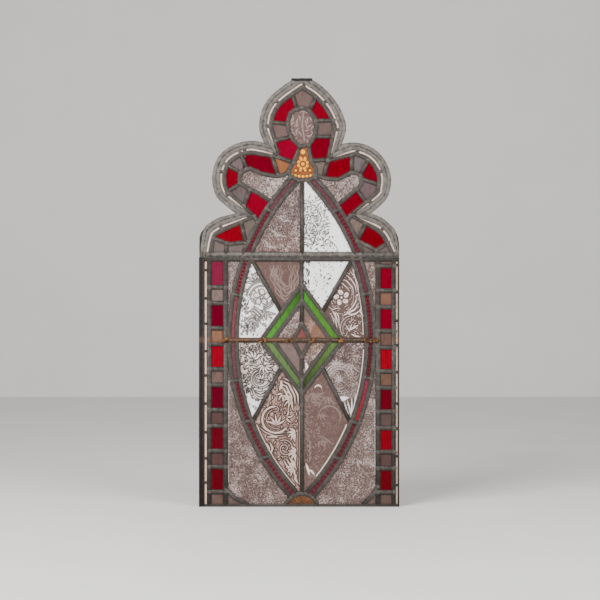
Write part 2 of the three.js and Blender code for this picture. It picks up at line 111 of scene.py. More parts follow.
DIVIDING_LEADS = [
    [(-65, 278), (-26, 264)], [(-87, 284), (-71, 232)], [(23, 269), (69, 273)], [(69, 270), (57, 222)],
    [(-137, 114), (-126, 98)], [(133, 117), (124, 103)],
    [(-252, 54), (-228, 43), (-206, 36), (-152, 43)], [(-214, 39), (-216, 5)], [(-173, 97), (-161, 39)],
    [(176, 94), (151, 45)], [(152, 46), (205, 18), (238, 41)], [(205, 18), (205, 5)],
]

BAR_RADIUS, BAR_HALF, BAR_Z, BAR_Y = 3.2, 219.0, 467.0, -7.2
TIE_PLACES = [-212, -105, -32, 35, 108, 181, 208]

# ---- Depths and thicknesses; the front faces -y ----
CAME_FACE = -3.3      # front of the solid leads
CROWN = 0.9           # how far a came's rounded leaf stands in front of them
SHOULDER = 0.45       # share of the crown that is left at the leaf's edges
LEAF_DEPTH = 1.3      # how far a leaf's sides run back into the solid lead
LEAF_BEVEL = 1.2
SOLDER_HEIGHT = 0.95
GLASS_FACE = -1.5
PANE_REACH = 3.9      # how far a pane runs into the channels of its leads
GRID_MARGIN = 3.2     # how much wider the grid is that a pane is cut from
GRIME_WIDTH = 4.0     # dirt beside the leads
BACK_GRIME = 0.15
TIE_WIRE = 0.75       # radius of the copper wire

dice = random.Random(7)


# ---- Paths on the plan ----
def moved_sideways(path, distance, closed=False):
    """The path moved to the left of its run, mitred at its corners."""
    points = [Vector(point) for point in path]
    last = len(points) - 1
    result = []
    for i, here in enumerate(points):
        before = points[i - 1] if i or closed else None
        after = points[(i + 1) % len(points)] if i < last or closed else None
        arriving = (here - before).normalized() if before is not None else (after - here).normalized()
        leaving = (after - here).normalized() if after is not None else arriving
        along = (arriving + leaving).normalized()
        normal = Vector((-along.y, along.x))
        mitre = distance / max(normal.dot(Vector((-arriving.y, arriving.x))), 0.4)
        result.append(here + normal * mitre)
    return result


def smooth_path(points, steps):
    """An even Catmull-Rom curve through the points."""
    result = []
    last = len(points) - 1
    for step in range(steps + 1):
        place = last * step / steps
        i = min(int(place), last - 1)
        t = place - i
        p = [Vector(points[min(max(k, 0), last)]) for k in (i - 1, i, i + 1, i + 2)]
        from_slope = (p[2] - p[0]) / 2
        to_slope = (p[3] - p[1]) / 2
        result.append((2 * p[1] - 2 * p[2] + from_slope + to_slope) * t ** 3
                      + (3 * p[2] - 3 * p[1] - 2 * from_slope - to_slope) * t ** 2 + from_slope * t + p[1])
    return result


def circle_arc(x, z, radius, start, end, steps):
    """Points along a circle from one angle in degrees to another."""
    angles = [math.radians(start + (end - start) * i / steps) for i in range(steps + 1)]
    return [(x + radius * math.cos(angle), z + radius * math.sin(angle)) for angle in angles]


def oval_side(oval, side, inset, low, high, steps):
    """One side of an oval, moved inwards by the inset, from one height to another."""
    heights = [low + (high - low) * i / steps for i in range(steps + 1)]
    reach = oval["radius"] - oval["half"]
    return [(side * (math.sqrt((oval["radius"] - inset) ** 2 - (z - oval["z"]) ** 2) - reach), z)
            for z in heights]


def lower_oval(side, inset):
    """One side of the lower panel's oval, which closes more slowly above the cross than below it."""
    foot = OVAL_FOOT["outer"] if inset < 0 else OVAL_FOOT["inner"]
    return (oval_side(OVAL_LOWER, side, inset, foot, OVAL_LOWER["z"], 10)
            + oval_side(OVAL_UPPER, side, inset, OVAL_LOWER["z"], PANEL_TOP, 6)[1:])


def strip_rung(side, z):
    """The short came across the strip of the oval, square to its curve."""
    oval = OVAL_LOWER if z < OVAL_LOWER["z"] else OVAL_UPPER
    outer = oval_side(oval, side, -STRIP_LEADS / 2, z, z, 1)[0][0]
    inner = oval_side(oval, side, STRIP_LEADS / 2, z, z, 1)[0][0]
    rise = z - oval["z"]
    lean = math.copysign(STRIP_LEADS / 2 * min(abs(rise) / oval["radius"], 0.6), rise)
    return [(outer, z + lean), (inner, z - lean)]


def diamond(half, up, down):
    return [(0, CROSS_Z + up), (-half, CROSS_Z), (0, CROSS_Z - down), (half, CROSS_Z)]


def notch_point(places, inset):
    """Where the edge curves meet in a notch when they are moved inwards."""
    edge, tip, inner = (Vector(place) for place in places)
    if inset < EDGE_LEAD:
        return edge.lerp(tip, inset / EDGE_LEAD)
    return tip.lerp(inner, (inset - EDGE_LEAD) / (INNER_LEAD - EDGE_LEAD))


def lobed_line(inset):
    """The lobed edge of the head at a distance inside it, as five curves that meet in the notches."""
    lines = []
    for k, curve in enumerate(EDGE_CURVES):
        first, final = k == 0, k == len(EDGE_CURVES) - 1
        line = moved_sideways(curve, -inset * (SHOULDER_INSET if first or final else 1))
        if inset > 0 and first:
            del line[1]
        if inset > 0 and final:
            del line[-2]
        line[0] = notch_point(FEET[0] if first else NOTCHES[k - 1], inset)
        line[-1] = notch_point(FEET[1] if final else NOTCHES[k], inset)
        curve_points = smooth_path(line, (len(line) - 1) * 3)
        lines.append([(x, min(z, HEAD_TOP)) for x, z in curve_points])
    return lines


def lower_cames():
    """The cames across the lower panel's fillets and border and all over its field: (path, width, closed)."""
    left, right = PANEL_LEFT + LEFT_EDGE, PANEL_RIGHT - RIGHT_EDGE
    half = STRIP_LEADS / 2
    cames = []
    for side, joints in ((-1, LEFT_BORDER), (1, RIGHT_BORDER)):
        cames += [([(side * FILLET_LEAD_X, z), (side * BORDER_LEAD_X, z)], CROSS_LEAD, False) for z in joints]
    cames += [([(left - 4, z), (-FILLET_LEAD_X, z)], FILLET_JOINT, False) for z in LEFT_FILLET]
    cames += [([(FILLET_LEAD_X, z), (right + 2, z)], FILLET_JOINT, False) for z in RIGHT_FILLET]
    for side, joints in ((-1, LEFT_STRIP), (1, RIGHT_STRIP)):
        cames += [(lower_oval(side, inset), FIELD_LEAD, False) for inset in (-half, half)]
        cames += [(strip_rung(side, z), FIELD_LEAD, False) for z in joints]
    cames += [(diamond(*size), FIELD_LEAD, True) for size in DIAMONDS]
    centre = DIAMONDS[2]
    plain = [
        [(0, HALF_ROUND_Z + HALF_ROUND_RADIUS), (0, CROSS_Z - centre[2])],
        [(0, CROSS_Z + centre[1]), (0, PANEL_TOP - 4)],
        [(half - OVAL_LOWER["half"], CROSS_Z), (OVAL_LOWER["half"] - half, CROSS_Z)],
        [(-141, 694), (-57.5, CROSS_Z + 78.5)],
        [(142, 694), (57.5, CROSS_Z + 78.5)],
        [(-137, 240), (-57.5, CROSS_Z - 76)],
        [(135, 238), (57.5, CROSS_Z - 76)],
        circle_arc(0, HALF_ROUND_Z, HALF_ROUND_RADIUS, 15, 165, 12),
        [(-BORDER_LEAD_X, 49), (-188, 25), (-150, 5)],
        [(BORDER_LEAD_X, 56), (196, 30), (170, 5)],
    ]
    return cames + [(path, FIELD_LEAD, False) for path in plain]


def head_cames():
    """Every came of the head panel inside its lobed leads as (path, width, closed)."""
    half = STRIP_LEADS / 2
    cames = [([notch_point(notch, 8), notch[2]], FIELD_LEAD, False) for notch in NOTCHES]
    for side in (-1, 1):
        outer = oval_side(OVAL_HEAD, side, -half, 4, 222, 8)
        inner = oval_side(OVAL_HEAD, side, half, 4, 214, 8)
        rung = [oval_side(OVAL_HEAD, side, -half, 0, 136, 1)[-1],
                oval_side(OVAL_HEAD, side, half, 0, 124, 1)[-1]]
        cames += [(path, FIELD_LEAD, False) for path in (outer, inner, rung)]
    cames.append(([(HEAD_UPRIGHT, 4), (HEAD_UPRIGHT, 215)], FIELD_LEAD, False))
    cames.append((OVAL_PANE, FIELD_LEAD, True))
    open_leads = (BELL, LEFT_DROP, RIGHT_DROP, *DIVIDING_LEADS, *RING_LEADS)
    return cames + [(path, FIELD_LEAD, False) for path in open_leads]


def on_window(path):
    """A path of the head panel, at its place on the window."""
    return [(x + HEAD_SHIFT, z + HEAD_BASE) for x, z in path]


# ---- Making pieces ----
def in_scene(name, data):
    """An object for a mesh, a light or a camera, linked to the scene."""
    made = bpy.data.objects.new(name, data)
    bpy.context.scene.collection.objects.link(made)
    return made


def new_object(name, bm, material):
    """A finished mesh of one material, in the scene."""
    mesh = bpy.data.meshes.new(name)
    bm.to_mesh(mesh)
    bm.free()
    mesh.materials.append(material)
    return in_scene(name, mesh)


def new_piece(name, bm, material):
    """A finished mesh as a piece of the window."""
    piece = new_object(name, bm, material)
    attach(piece, "root")
    return piece


def rounded_piece(name, bm, material):
    """A piece with smooth faces, all turned outwards."""
    bmesh.ops.recalc_face_normals(bm, faces=bm.faces)
    for face in bm.faces:
        face.smooth = True
    return new_piece(name, bm, material)


def add_leaf_of_lead(bm, rows, closed=False, crown=CROWN):
    """One came's rounded leaf from its two edges and the raised line between them."""
    depths = (CAME_FACE - crown * SHOULDER, CAME_FACE - crown, CAME_FACE - crown * SHOULDER)
    lines = [[bm.verts.new((x * MM, depth * MM, z * MM)) for x, z in row] for row, depth in zip(rows, depths)]
    count = len(rows[0])
    faces = []
    for near, far in zip(lines, lines[1:]):
        for i in range(count if closed else count - 1):
            k = (i + 1) % count
            faces.append(bm.faces.new((near[i], near[k], far[k], far[i])))
    sides = [edge for edge in {edge for face in faces for edge in face.edges} if edge.is_boundary]
    walls = bmesh.ops.extrude_edge_only(bm, edges=sides)["geom"]
    for element in walls:
        if isinstance(element, bmesh.types.BMVert):
            element.co.y = (CAME_FACE + LEAF_DEPTH) * MM
    ends = {line[i] for line in lines for i in (0, -1)}
    rims = [edge for edge in sides if closed or not all(vert in ends for vert in edge.verts)]
    bmesh.ops.bevel(bm, geom=rims, offset=LEAF_BEVEL * MM, offset_type="OFFSET", segments=2, profile=0.5,
                    affect="EDGES", material=-1)


def add_came(bm, path, width, closed=False, crown=CROWN):
    """One came of even width along its path."""
    rows = [moved_sideways(path, shift, closed) for shift in (width / 2, 0, -width / 2)]
    add_leaf_of_lead(bm, rows, closed, crown)


def add_solder(bm, x, z, size):
    """A low blob of solder over a joint."""
    wide, tall = (size * dice.uniform(0.85, 1.2) * MM for _ in range(2))
    stretch = Matrix.Diagonal((wide, SOLDER_HEIGHT * MM, tall, 1))
    turned = Matrix.Rotation(dice.uniform(0, 3), 4, "Y")
    place = Matrix.Translation((x * MM, (CAME_FACE - 0.25) * MM, z * MM)) @ turned
    bmesh.ops.create_icosphere(bm, subdivisions=2, radius=1, matrix=place @ stretch)


def glass_pane(node, material, step=1.5, shape=None, tints=None):
    """A pane that runs a little way into the channels of its leads, cut from a fine grid.

    shape gives the height and the tone of the pane's front; tints gives its colour from point to point.
    """
    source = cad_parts[node]
    corners = [vert.co for vert in source.data.vertices]
    faces = source.data.polygons
    tree = BVHTree.FromPolygons(corners, [tuple(face.vertices) for face in faces])
    sides = [tuple(face.vertices) for face in faces if abs(face.normal.y) < 0.5]
    edges = BVHTree.FromPolygons(corners, sides)
    low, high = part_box(node)
    bm = bmesh.new()
    width, height = high[0] - low[0] + GRID_MARGIN * MM, high[2] - low[2] + GRID_MARGIN * MM
    place = Matrix.Translation(((low[0] + high[0]) / 2, GLASS_FACE * MM, (low[2] + high[2]) / 2))
    size = Matrix.Diagonal((width / 2, 1, height / 2, 1))
    bmesh.ops.create_grid(bm, x_segments=max(math.ceil(width / step / MM), 2),
                          y_segments=max(math.ceil(height / step / MM), 2), size=1,
                          matrix=place @ size @ Matrix.Rotation(math.pi / 2, 4, "X"))
    outside = [vert for vert in bm.verts if tree.find_nearest(vert.co, PANE_REACH * MM)[0] is None]
    bmesh.ops.delete(bm, geom=outside, context="VERTS")
    front = list(bm.verts)
    if shape is not None:
        x = np.array([vert.co.x for vert in front]) / MM
        z = np.array([vert.co.z for vert in front]) / MM
        for vert, rise in zip(front, shape(x, z)["rise"]):
            vert.co.y -= rise * MM
    rim = [edge for edge in bm.edges if edge.is_boundary]
    walls = bmesh.ops.extrude_edge_only(bm, edges=rim)["geom"]
    for element in walls:
        if isinstance(element, bmesh.types.BMVert):
            element.co.y = -GLASS_FACE * MM
    bmesh.ops.holes_fill(bm, edges=[edge for edge in bm.edges if edge.is_boundary], sides=0)
    bmesh.ops.recalc_face_normals(bm, faces=bm.faces)
    for face in bm.faces:
        face.smooth = abs(face.normal.y) > 0.5
    pane = new_piece(f"{node}_glass", bm, material)
    data = pane.data
    places = np.array([vert.co[:] for vert in data.vertices]) / MM
    x, z = places[:, 0], places[:, 2]
    to_edge = np.array([edges.find_nearest((vert.co.x, 0, vert.co.z))[3] for vert in data.vertices]) / MM
    behind = places[:, 1] > 0
    beside_lead = np.clip(1.15 - to_edge / GRIME_WIDTH, 0, 1)
    tones = {"grime": np.where(behind, BACK_GRIME, beside_lead)}
    if shape is not None:
        tones |= {tone: np.where(behind, 0, values) for tone, values in shape(x, z).items()}
    for tone, values in tones.items():
        data.attributes.new(tone, "FLOAT", "POINT").data.foreach_set("value", values.astype(np.float32))
    if tints is not None:
        colours = np.ones((len(x), 4), dtype=np.float32)
        colours[:, :3] = tints(x, z)
        data.color_attributes.new("tint", "FLOAT_COLOR", "POINT").data.foreach_set("color", colours.ravel())
    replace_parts(pane, node)


# ---- Colours and finishes ----
def linear(hex_colour):
    """An sRGB hex colour as linear red, green and blue."""
    channels = [int(hex_colour[i:i + 2], 16) / 255 for i in (1, 3, 5)]
    return [c / 12.92 if c <= 0.04045 else ((c + 0.055) / 1.055) ** 2.4 for c in channels]


def colour(hex_colour):
    return (*linear(hex_colour), 1.0)


def add_node(tree, kind, inputs, **settings):
    """A node with its settings; each input is given a value or the socket that feeds it."""
    node = tree.nodes.new(kind)
    for setting, value in settings.items():
        setattr(node, setting, value)
    for socket, value in inputs.items():
        if isinstance(value, bpy.types.NodeSocket):
            tree.links.new(value, node.inputs[socket])
        else:
            node.inputs[socket].default_value = value
    return node


def new_material(name):
    """A material with its tree, its shader and the piece's own coordinates."""
    material = bpy.data.materials.new(name)
    material.use_nodes = True
    tree = material.node_tree
    shader = tree.nodes["Principled BSDF"]
    place = add_node(tree, "ShaderNodeTexCoord", {}).outputs["Object"]
    return material, tree, shader, place


def per_metre(millimetres):
    """Noise scale for features of about this size."""
    return 1 / (millimetres * MM)


def blend(tree, share, first, second, mode="MIX"):
    """Two colours mixed by a share; a hex string is a plain colour."""
    first = colour(first) if isinstance(first, str) else first
    second = colour(second) if isinstance(second, str) else second
    mix = add_node(tree, "ShaderNodeMix", {0: share, 6: first, 7: second}, data_type="RGBA", blend_type=mode)
    return mix.outputs[2]


def band(tree, value, low, high, start=0.0, end=1.0):
    """A value taken from one range to another and held inside it."""
    inputs = {"Value": value, "From Min": low, "From Max": high, "To Min": start, "To Max": end}
    return add_node(tree, "ShaderNodeMapRange", inputs).outputs["Result"]


def set_surface(tree, shader, base, bump, finish):
    """The shader's colour, its relief as (height, strength, millimetres) and its plain values by socket."""
    tree.links.new(base, shader.inputs["Base Color"])
    if bump is not None:
        height, strength, depth = bump
        relief = {"Height": height, "Strength": strength, "Distance": depth * MM}
        tree.links.new(add_node(tree, "ShaderNodeBump", relief).outputs["Normal"], shader.inputs["Normal"])
    for socket, value in finish.items():
        shader.inputs[socket].default_value = value


BACK_OF_LEAD = "#5A534C"
BACK_FROM, BACK_FULL = 2.4 * MM, 3.2 * MM        # depths over which lead takes the colour of its back
RUST_WASH = "#4C3420"
WASH_FULL, WASH_END = 5 * MM, 10 * MM            # distances from the bar over which its rust fades


def lead_came(name, ridge, body, grime, stain, metallic, rough):
    """Weathered lead: dull grey with rubbed ridges, painted shade with dirt darkening each leaf down its
    sides, brown stains and rust from the bar.
    """
    material, tree, shader, place = new_material(name)
    parts = add_node(tree, "ShaderNodeSeparateXYZ", {"Vector": place})
    height = band(tree, parts.outputs["Y"], (CAME_FACE - 0.35) * MM, (CAME_FACE - CROWN) * MM)
    streaks, grain, patches = (
        add_node(tree, "ShaderNodeTexNoise", {"Vector": place, "Scale": per_metre(size), "Detail": detail})
        for size, detail in ((9, 6.0), (2.2, 8.0), (45, 3.0)))
    # Painted shade with dirt: each leaf takes the dark grime colour down its sides and edges and the body
    # colour on its crown, as if lit from the front.
    low = blend(tree, height, grime, body)
    lit = blend(tree, band(tree, streaks.outputs["Fac"], 0.4, 0.7, 0, 0.8), low, ridge)
    stained = blend(tree, band(tree, patches.outputs["Fac"], 0.5, 0.72, 0, 0.55), lit, stain)
    behind = blend(tree, band(tree, parts.outputs["Y"], BACK_FROM, BACK_FULL), stained, BACK_OF_LEAD)
    above_bar = add_node(tree, "ShaderNodeMath", {0: parts.outputs["Z"], 1: BAR_Z * MM}, operation="SUBTRACT")
    from_bar = add_node(tree, "ShaderNodeMath", {0: above_bar.outputs["Value"]}, operation="ABSOLUTE")
    rust = band(tree, from_bar.outputs["Value"], WASH_FULL, WASH_END, 0.75, 0)
    washed = blend(tree, rust, behind, RUST_WASH)
    speckled = blend(tree, band(tree, grain.outputs["Fac"], 0.3, 0.5, 0.3, 0), washed, grime)
    set_surface(tree, shader, speckled, (grain.outputs["Fac"], 0.5, 0.4), {"Metallic": metallic})
    tree.links.new(band(tree, streaks.outputs["Fac"], 0.3, 0.7, rough + 0.12, rough - 0.08),
                   shader.inputs["Roughness"])
    return material


def with_grime(tree, place, clean, share):
    """Cement and dirt left along the edges of a pane, in an uneven line."""
    grime = add_node(tree, "ShaderNodeAttribute", {}, attribute_name="grime").outputs["Fac"]
    patches = add_node(tree, "ShaderNodeTexNoise", {"Vector": place, "Scale": per_metre(9), "Detail": 4.0})
    uneven = band(tree, patches.outputs["Fac"], 0.35, 0.62, 0, share)
    dirt = add_node(tree, "ShaderNodeMath", {0: grime, 1: uneven}, operation="MULTIPLY").outputs["Value"]
    return blend(tree, dirt, clean, "#3A332C")


def glass_finish(rough, transmission, specular):
    """The plain values of soda-lime glass under its grime."""
    return {"Roughness": rough, "Transmission Weight": transmission, "IOR": 1.52,
            "Specular IOR Level": specular}


def traced_glass(name, figure_colour, trace_colour, mottle, crackle, vein_colour, rough, transmission):
    """Pressed or painted glass: ground tint, raised figure, dark tracing, clumps of crackle, wandering veins.

    crackle is its colour, feature size in millimetres, threshold and share.
    """
    material, tree, shader, place = new_material(name)
    ground = add_node(tree, "ShaderNodeAttribute", {}, attribute_name="tint").outputs["Color"]
    figure, trace, veined = (add_node(tree, "ShaderNodeAttribute", {}, attribute_name=tone).outputs["Fac"]
                             for tone in ("figure", "trace", "veins"))
    crackle_colour, size, threshold, share = crackle
    clouds = add_node(tree, "ShaderNodeTexNoise", {"Vector": place, "Scale": per_metre(34), "Detail": 4.0})
    specks = add_node(tree, "ShaderNodeTexNoise", {"Vector": place, "Scale": per_metre(size), "Detail": 3.0,
                                                   "Roughness": 0.6, "Distortion": 1.0})
    clumped = add_node(tree, "ShaderNodeMath", {0: clouds.outputs["Fac"], 1: 0.4, 2: specks.outputs["Fac"]},
                       operation="MULTIPLY_ADD").outputs["Value"]
    worms = add_node(tree, "ShaderNodeTexNoise", {"Vector": place, "Scale": per_metre(10), "Detail": 1.5,
                                                  "Distortion": 1.8})
    off_centre = add_node(tree, "ShaderNodeMath", {0: worms.outputs["Fac"], 1: 0.5}, operation="SUBTRACT")
    away_from = add_node(tree, "ShaderNodeMath", {0: off_centre.outputs["Value"]}, operation="ABSOLUTE")
    lines = band(tree, away_from.outputs["Value"], 0.02, 0.055, 1, 0)
    vein = add_node(tree, "ShaderNodeMath", {0: lines, 1: veined}, operation="MULTIPLY").outputs["Value"]
    pitted = band(tree, specks.outputs["Fac"], 0.38, 0.53, 0.9, 0)
    clouded = blend(tree, pitted, ground, mottle)
    speckled = blend(tree, band(tree, clumped, threshold + 0.18, threshold + 0.27, 0, share), clouded,
                     crackle_colour)
    veiny = blend(tree, vein, speckled, vein_colour)
    # On the grey-brown panes this light figure colour is painted highlight along the real pressed relief.
    raised = blend(tree, figure, veiny, figure_colour)
    drawn = blend(tree, trace, raised, trace_colour)
    set_surface(tree, shader, with_grime(tree, place, drawn, 0.75), (specks.outputs["Fac"], 0.5, 0.5),
                glass_finish(rough, transmission, 0.25))
    return material


def pot_glass(name, deep, streak_size, rough, transmission):
    """Mouth-blown glass coloured through: its tint with slightly deeper drawn streaks and a wavy skin."""
    material, tree, shader, place = new_material(name)
    tint = add_node(tree, "ShaderNodeAttribute", {}, attribute_name="tint").outputs["Color"]
    drawn_out = add_node(tree, "ShaderNodeMapping", {"Vector": place, "Scale": (1, 1, 0.25)})
    streaks = add_node(tree, "ShaderNodeTexNoise", {"Vector": drawn_out.outputs["Vector"],
                                                    "Scale": per_metre(streak_size), "Detail": 4.0})
    waves = add_node(tree, "ShaderNodeTexNoise", {"Vector": place, "Scale": per_metre(14), "Detail": 2.0})
    streaked = blend(tree, band(tree, streaks.outputs["Fac"], 0.45, 0.75, 0, 0.5), tint, deep, "MULTIPLY")
    set_surface(tree, shader, with_grime(tree, place, streaked, 0.5), (waves.outputs["Fac"], 0.2, 0.6),
                glass_finish(rough, transmission, 0.04))
    return material


# Cast lead, weathered outdoors: dull dark grey with a soft sheen, a little brighter where it is rubbed.
CAME = lead_came("weathered_lead_came", "#443D37", "#332D28", "#181512", "#342820", 0.2, 0.55)
# The same lead scraped and washed pale along the head's outer edge.
PALE_CAME = lead_came("pale_scraped_lead", "#746C65", "#56504A", "#2E2A26", "#544A43", 0.15, 0.6)
# Lead along the lower panel's side and at the apex, coloured nearly black: painted shadow over dark lead,
# down the side and in the gap at the apex.
SHADOW_BLACK_CAME = lead_came("shadow_black_edge_lead", "#0E0C09", "#090806", "#050504", "#120D09", 0.0, 0.85)
# Lead beside the cream rods, browned by rust from the frame it stood in.
BROWN_CAME = lead_came("rust_browned_lead", "#32271F", "#241B15", "#120E0B", "#2C1F16", 0.1, 0.75)
# Lead body and glazing cement: the dark line beside each rounded leaf.
CEMENT = lead_came("lead_and_glazing_cement", "#2C2824", "#211E1A", "#161311", "#241E1A", 0.05, 0.85)
# Tin-lead solder, flowed and wiped: as dull as the came, a little smoother.
SOLDER = lead_came("wiped_tin_lead_solder", "#524C46", "#3E3832", "#28231F", "#3B3028", 0.25, 0.5)

# Flashed ruby glass: deep clear red, glossy, with only a little light let through.
RUBY = pot_glass("flashed_ruby_glass", "#C09090", 5, 0.2, 0.03)
# Pot-metal green: grass green with drawn streaks, passing from one tone to another along a strip.
GREEN = pot_glass("pot_green_glass", "#708858", 4, 0.25, 0.05)
# Opal glass: milky, evenly lit, softly glossy.
OPAL = pot_glass("cream_opal_glass", "#D8C8B8", 8, 0.3, 0.05)
# Pressed grey-brown glass under old varnish, with a light crackle.
VARNISHED = traced_glass("varnished_grey_brown_glass", "#DCC6BC", "#2A1E19", "#54423C",
                         ("#7E6862", 3.2, 0.57, 0.6), "#7E665E", 0.4, 0.06)
# Pressed grey-brown glass, frosted with white crackle.
CRACKLED = traced_glass("crackled_grey_brown_glass", "#E4DAD6", "#33251F", "#3E2E2A",
                        ("#D0BEB7", 3.0, 0.57, 0.74), "#8A746E", 0.45, 0.06)
# Obscured glass painted white as the lamp's reflection: painted glare, broken by dark specks.
GLARE_OBSCURED = traced_glass("obscured_glass_painted_glare", "#FFFFFF", "#2E2926", "#E2DEDA",
                        ("#6A6460", 4.0, 0.62, 0.85), "#3E3733", 0.35, 0.06)
# Glass painted white as the lamp's reflection: painted glare, with a pinkish pressed figure outlined in brown
# enamel.
GLARE_ENAMELLED = traced_glass("enamelled_glass_painted_glare", "#DDD0CA", "#2E2420", "#E4DEDA",
                         ("#7A706A", 4.0, 0.6, 0.85), "#5A4C46", 0.35, 0.06)
# Cream-pink glass with its figure outlined in brown enamel.
CREAM_TRACED = traced_glass("cream_traced_glass", "#C6AEA3", "#2A1610", "#6A4C42",
                            ("#D8C6BE", 3.6, 0.55, 0.5), "#5A3C34", 0.35, 0.06)
# Yellow-stained glass with brown painted lines.
STAINED = traced_glass("silver_stained_glass", "#EA9A2E", "#3A1A08", "#80481F",
                       ("#8E6248", 4.0, 0.56, 0.5), "#7A3E1A", 0.3, 0.1)
# Beaded crimson glass: a pinker strip with dark round bosses pressed down its middle.
BEADED = traced_glass("beaded_crimson_glass", "#3C0008", "#2A040A", "#4E1622",
                      ("#7A3A46", 4.0, 0.58, 0.4), "#601020", 0.25, 0.04)


# ---- Motifs pressed or painted on the glass, in millimetres ----
def stem(path, width):
    """A line of even width."""
    return path, width, False


def leaf(path, width):
    """A stroke that swells in its middle and runs out to a point at each end."""
    return path, width, True


def leaves(*strokes):
    """Several leaves, each given as its width and then its points."""
    return [leaf(path, width) for width, *path in strokes]


def boss(x, z, width):
    """A round raised spot."""
    return stem([(x, z), (x + 0.1, z)], width)


def spiral(x, z, start_radius, end_radius, start, turns):
    """A scroll line about a centre; start is in degrees and turns may be negative."""
    steps = max(int(abs(turns) * 22), 6)
    path = []
    for i in range(steps + 1):
        share = i / steps
        radius = start_radius + (end_radius - start_radius) * share
        angle = math.radians(start + 360 * turns * share)
        path.append((x + radius * math.cos(angle), z + radius * math.sin(angle)))
    return path


def away(point, angle, length):
    """The point at a length from another, in the direction of an angle in degrees."""
    turn = math.radians(angle)
    return point[0] + length * math.cos(turn), point[1] + length * math.sin(turn)


def curl_leaf(foot, angle, length, width, bend=30.0):
    """A leaf from its foot, turning as it grows."""
    middle = away(foot, angle, length * 0.5)
    tip = away(middle, angle + bend, length * 0.5)
    return leaf([foot, away(foot, angle - bend * 0.2, length * 0.25), middle, tip], width)


def rosette(x, z, reach, petals, turn=90.0):
    """Round petals about a small boss."""
    marks = [boss(x, z, reach * 0.26)]
    for k in range(petals):
        angle = turn + 360 * k / petals
        petal = [away((x, z), angle, reach * 0.58), away((x, z), angle + 8, reach * 0.72)]
        marks.append(stem(petal, reach * 0.52))
    return marks


def spray(x, z, start, end, count, near, far, width, bend=25.0):
    """Leaves that spread from a point between two angles."""
    angles = [start + (end - start) * k / max(count - 1, 1) for k in range(count)]
    return [curl_leaf(away((x, z), angle, near), angle, far - near, width, bend) for angle in angles]


def slimmer(marks, share):
    """The same marks, each narrower."""
    return [(path, width * share, tapered) for path, width, tapered in marks]


def frond(path, spacing, length, width, lean=55.0, sides=(-1, 1)):
    """Leaflets that leave a scroll line on one side or both."""
    marks = []
    travelled = spacing
    for (ax, az), (bx, bz) in zip(path, path[1:]):
        travelled += math.hypot(bx - ax, bz - az)
        if travelled >= spacing:
            travelled -= spacing
            heading = math.degrees(math.atan2(bz - az, bx - ax))
            marks += [curl_leaf((ax, az), heading + side * lean, length, width, side * 35) for side in sides]
    return marks


def nested(path, step, count, width, taper=1.0):
    """The same curve repeated beside itself, each a little slighter than the last."""
    return [leaf(moved_sideways(path, step * k), width * taper ** k) for k in range(count)]


def filled(marks, left, right, low, high, count, length, width):
    """The motif with small curled leaves scattered in whatever ground it leaves free."""
    marks = list(marks)
    for _ in range(count):
        foot = (dice.uniform(left, right), dice.uniform(low, high))
        strewn = curl_leaf(foot, dice.uniform(0, 360), length * dice.uniform(0.7, 1.3), width,
                           dice.uniform(-60, 60))
        places = np.array(strewn[0])
        if edge_distance(places[:, 0], places[:, 1], marks).min() > width * 0.85:
            marks.append(strewn)
    return marks


def ticks(left, right, low, high, count, length=5.5, lean=90.0, width=2.2):
    """Short stray strokes of enamel, scattered in a box."""
    marks = []
    for _ in range(count):
        foot = (dice.uniform(left, right), dice.uniform(low, high))
        marks.append(stem([foot, away(foot, lean + dice.uniform(-45, 45), dice.uniform(0.4, 1.6) * length)],
                          width * dice.uniform(0.6, 1.4)))
    return marks


FAR = 60.0                                               # a distance beyond the reach of any mark
FIGURE_EDGE, FAINT_EDGE, DRAWN_EDGE = 1.4, 2.0, 1.2       # how softly the marks of each kind end


def edge_distance(x, z, marks):
    """Distance from each point to the nearest mark's edge, negative inside the mark."""
    nearest = np.full(x.shape, FAR)
    for path, width, tapered in marks:
        count = len(path) - 1
        for i, ((ax, az), (bx, bz)) in enumerate(zip(path, path[1:])):
            length = max((bx - ax) ** 2 + (bz - az) ** 2, 1e-6)
            share = np.clip(((x - ax) * (bx - ax) + (z - az) * (bz - az)) / length, 0, 1)
            gap = np.hypot(x - ax - share * (bx - ax), z - az - share * (bz - az))
            half = width / 2
            if tapered:
                half = half * np.sin(np.pi * (0.1 + 0.8 * (i + share) / count))
            nearest = np.minimum(nearest, gap - half)
    return nearest


def pressed(marks, line=1.5, rise=0.5, outline=0.0, veins=0.0, drawn=(), faint=(), faint_share=0.4):
    """A pane's front: marks raised, outlined to a given strength, with extra drawn lines and veins between.

    The faint marks are drawn at only a share of their strength. On the grey-brown panes the light figure,
    faint or full, is painted highlight along real pressed relief.
    """
    def shape(x, z):
        edge = edge_distance(x, z, marks)
        figure = np.clip(0.5 - edge / FIGURE_EDGE, 0, 1)
        trace = outline * np.clip(1.6 - np.abs(edge - 1.0) / line, 0, 1)
        if faint:
            faint_figure = np.clip(0.5 - edge_distance(x, z, faint) / FAINT_EDGE, 0, 1)
            figure = np.maximum(figure, faint_share * faint_figure)
        if drawn:
            trace = np.maximum(trace, np.clip(0.9 - edge_distance(x, z, drawn) / DRAWN_EDGE, 0, 1))
        spread = veins(x, z) if callable(veins) else np.full_like(x, veins)
        return {"rise": figure * rise, "figure": figure, "trace": trace, "veins": spread * (1 - figure)}
    return shape


def within(x, z, reach, soft=14.0):
    """A mask that is full inside a circle and fades outside it."""
    return lambda px, pz: np.clip(1 - (np.hypot(px - x, pz - z) - reach) / soft, 0, 1)


def even(hex_colour):
    """The same tint all over a pane."""
    tint = linear(hex_colour)
    return lambda x, z: np.tile(tint, (len(x), 1))


def by_height(joints, hex_colours):
    """One tint for each pane of an upright run, from the lowest up."""
    tints = np.array([linear(hex_colour) for hex_colour in hex_colours])
    return lambda x, z: tints[np.minimum(np.searchsorted(joints, z), len(tints) - 1)]


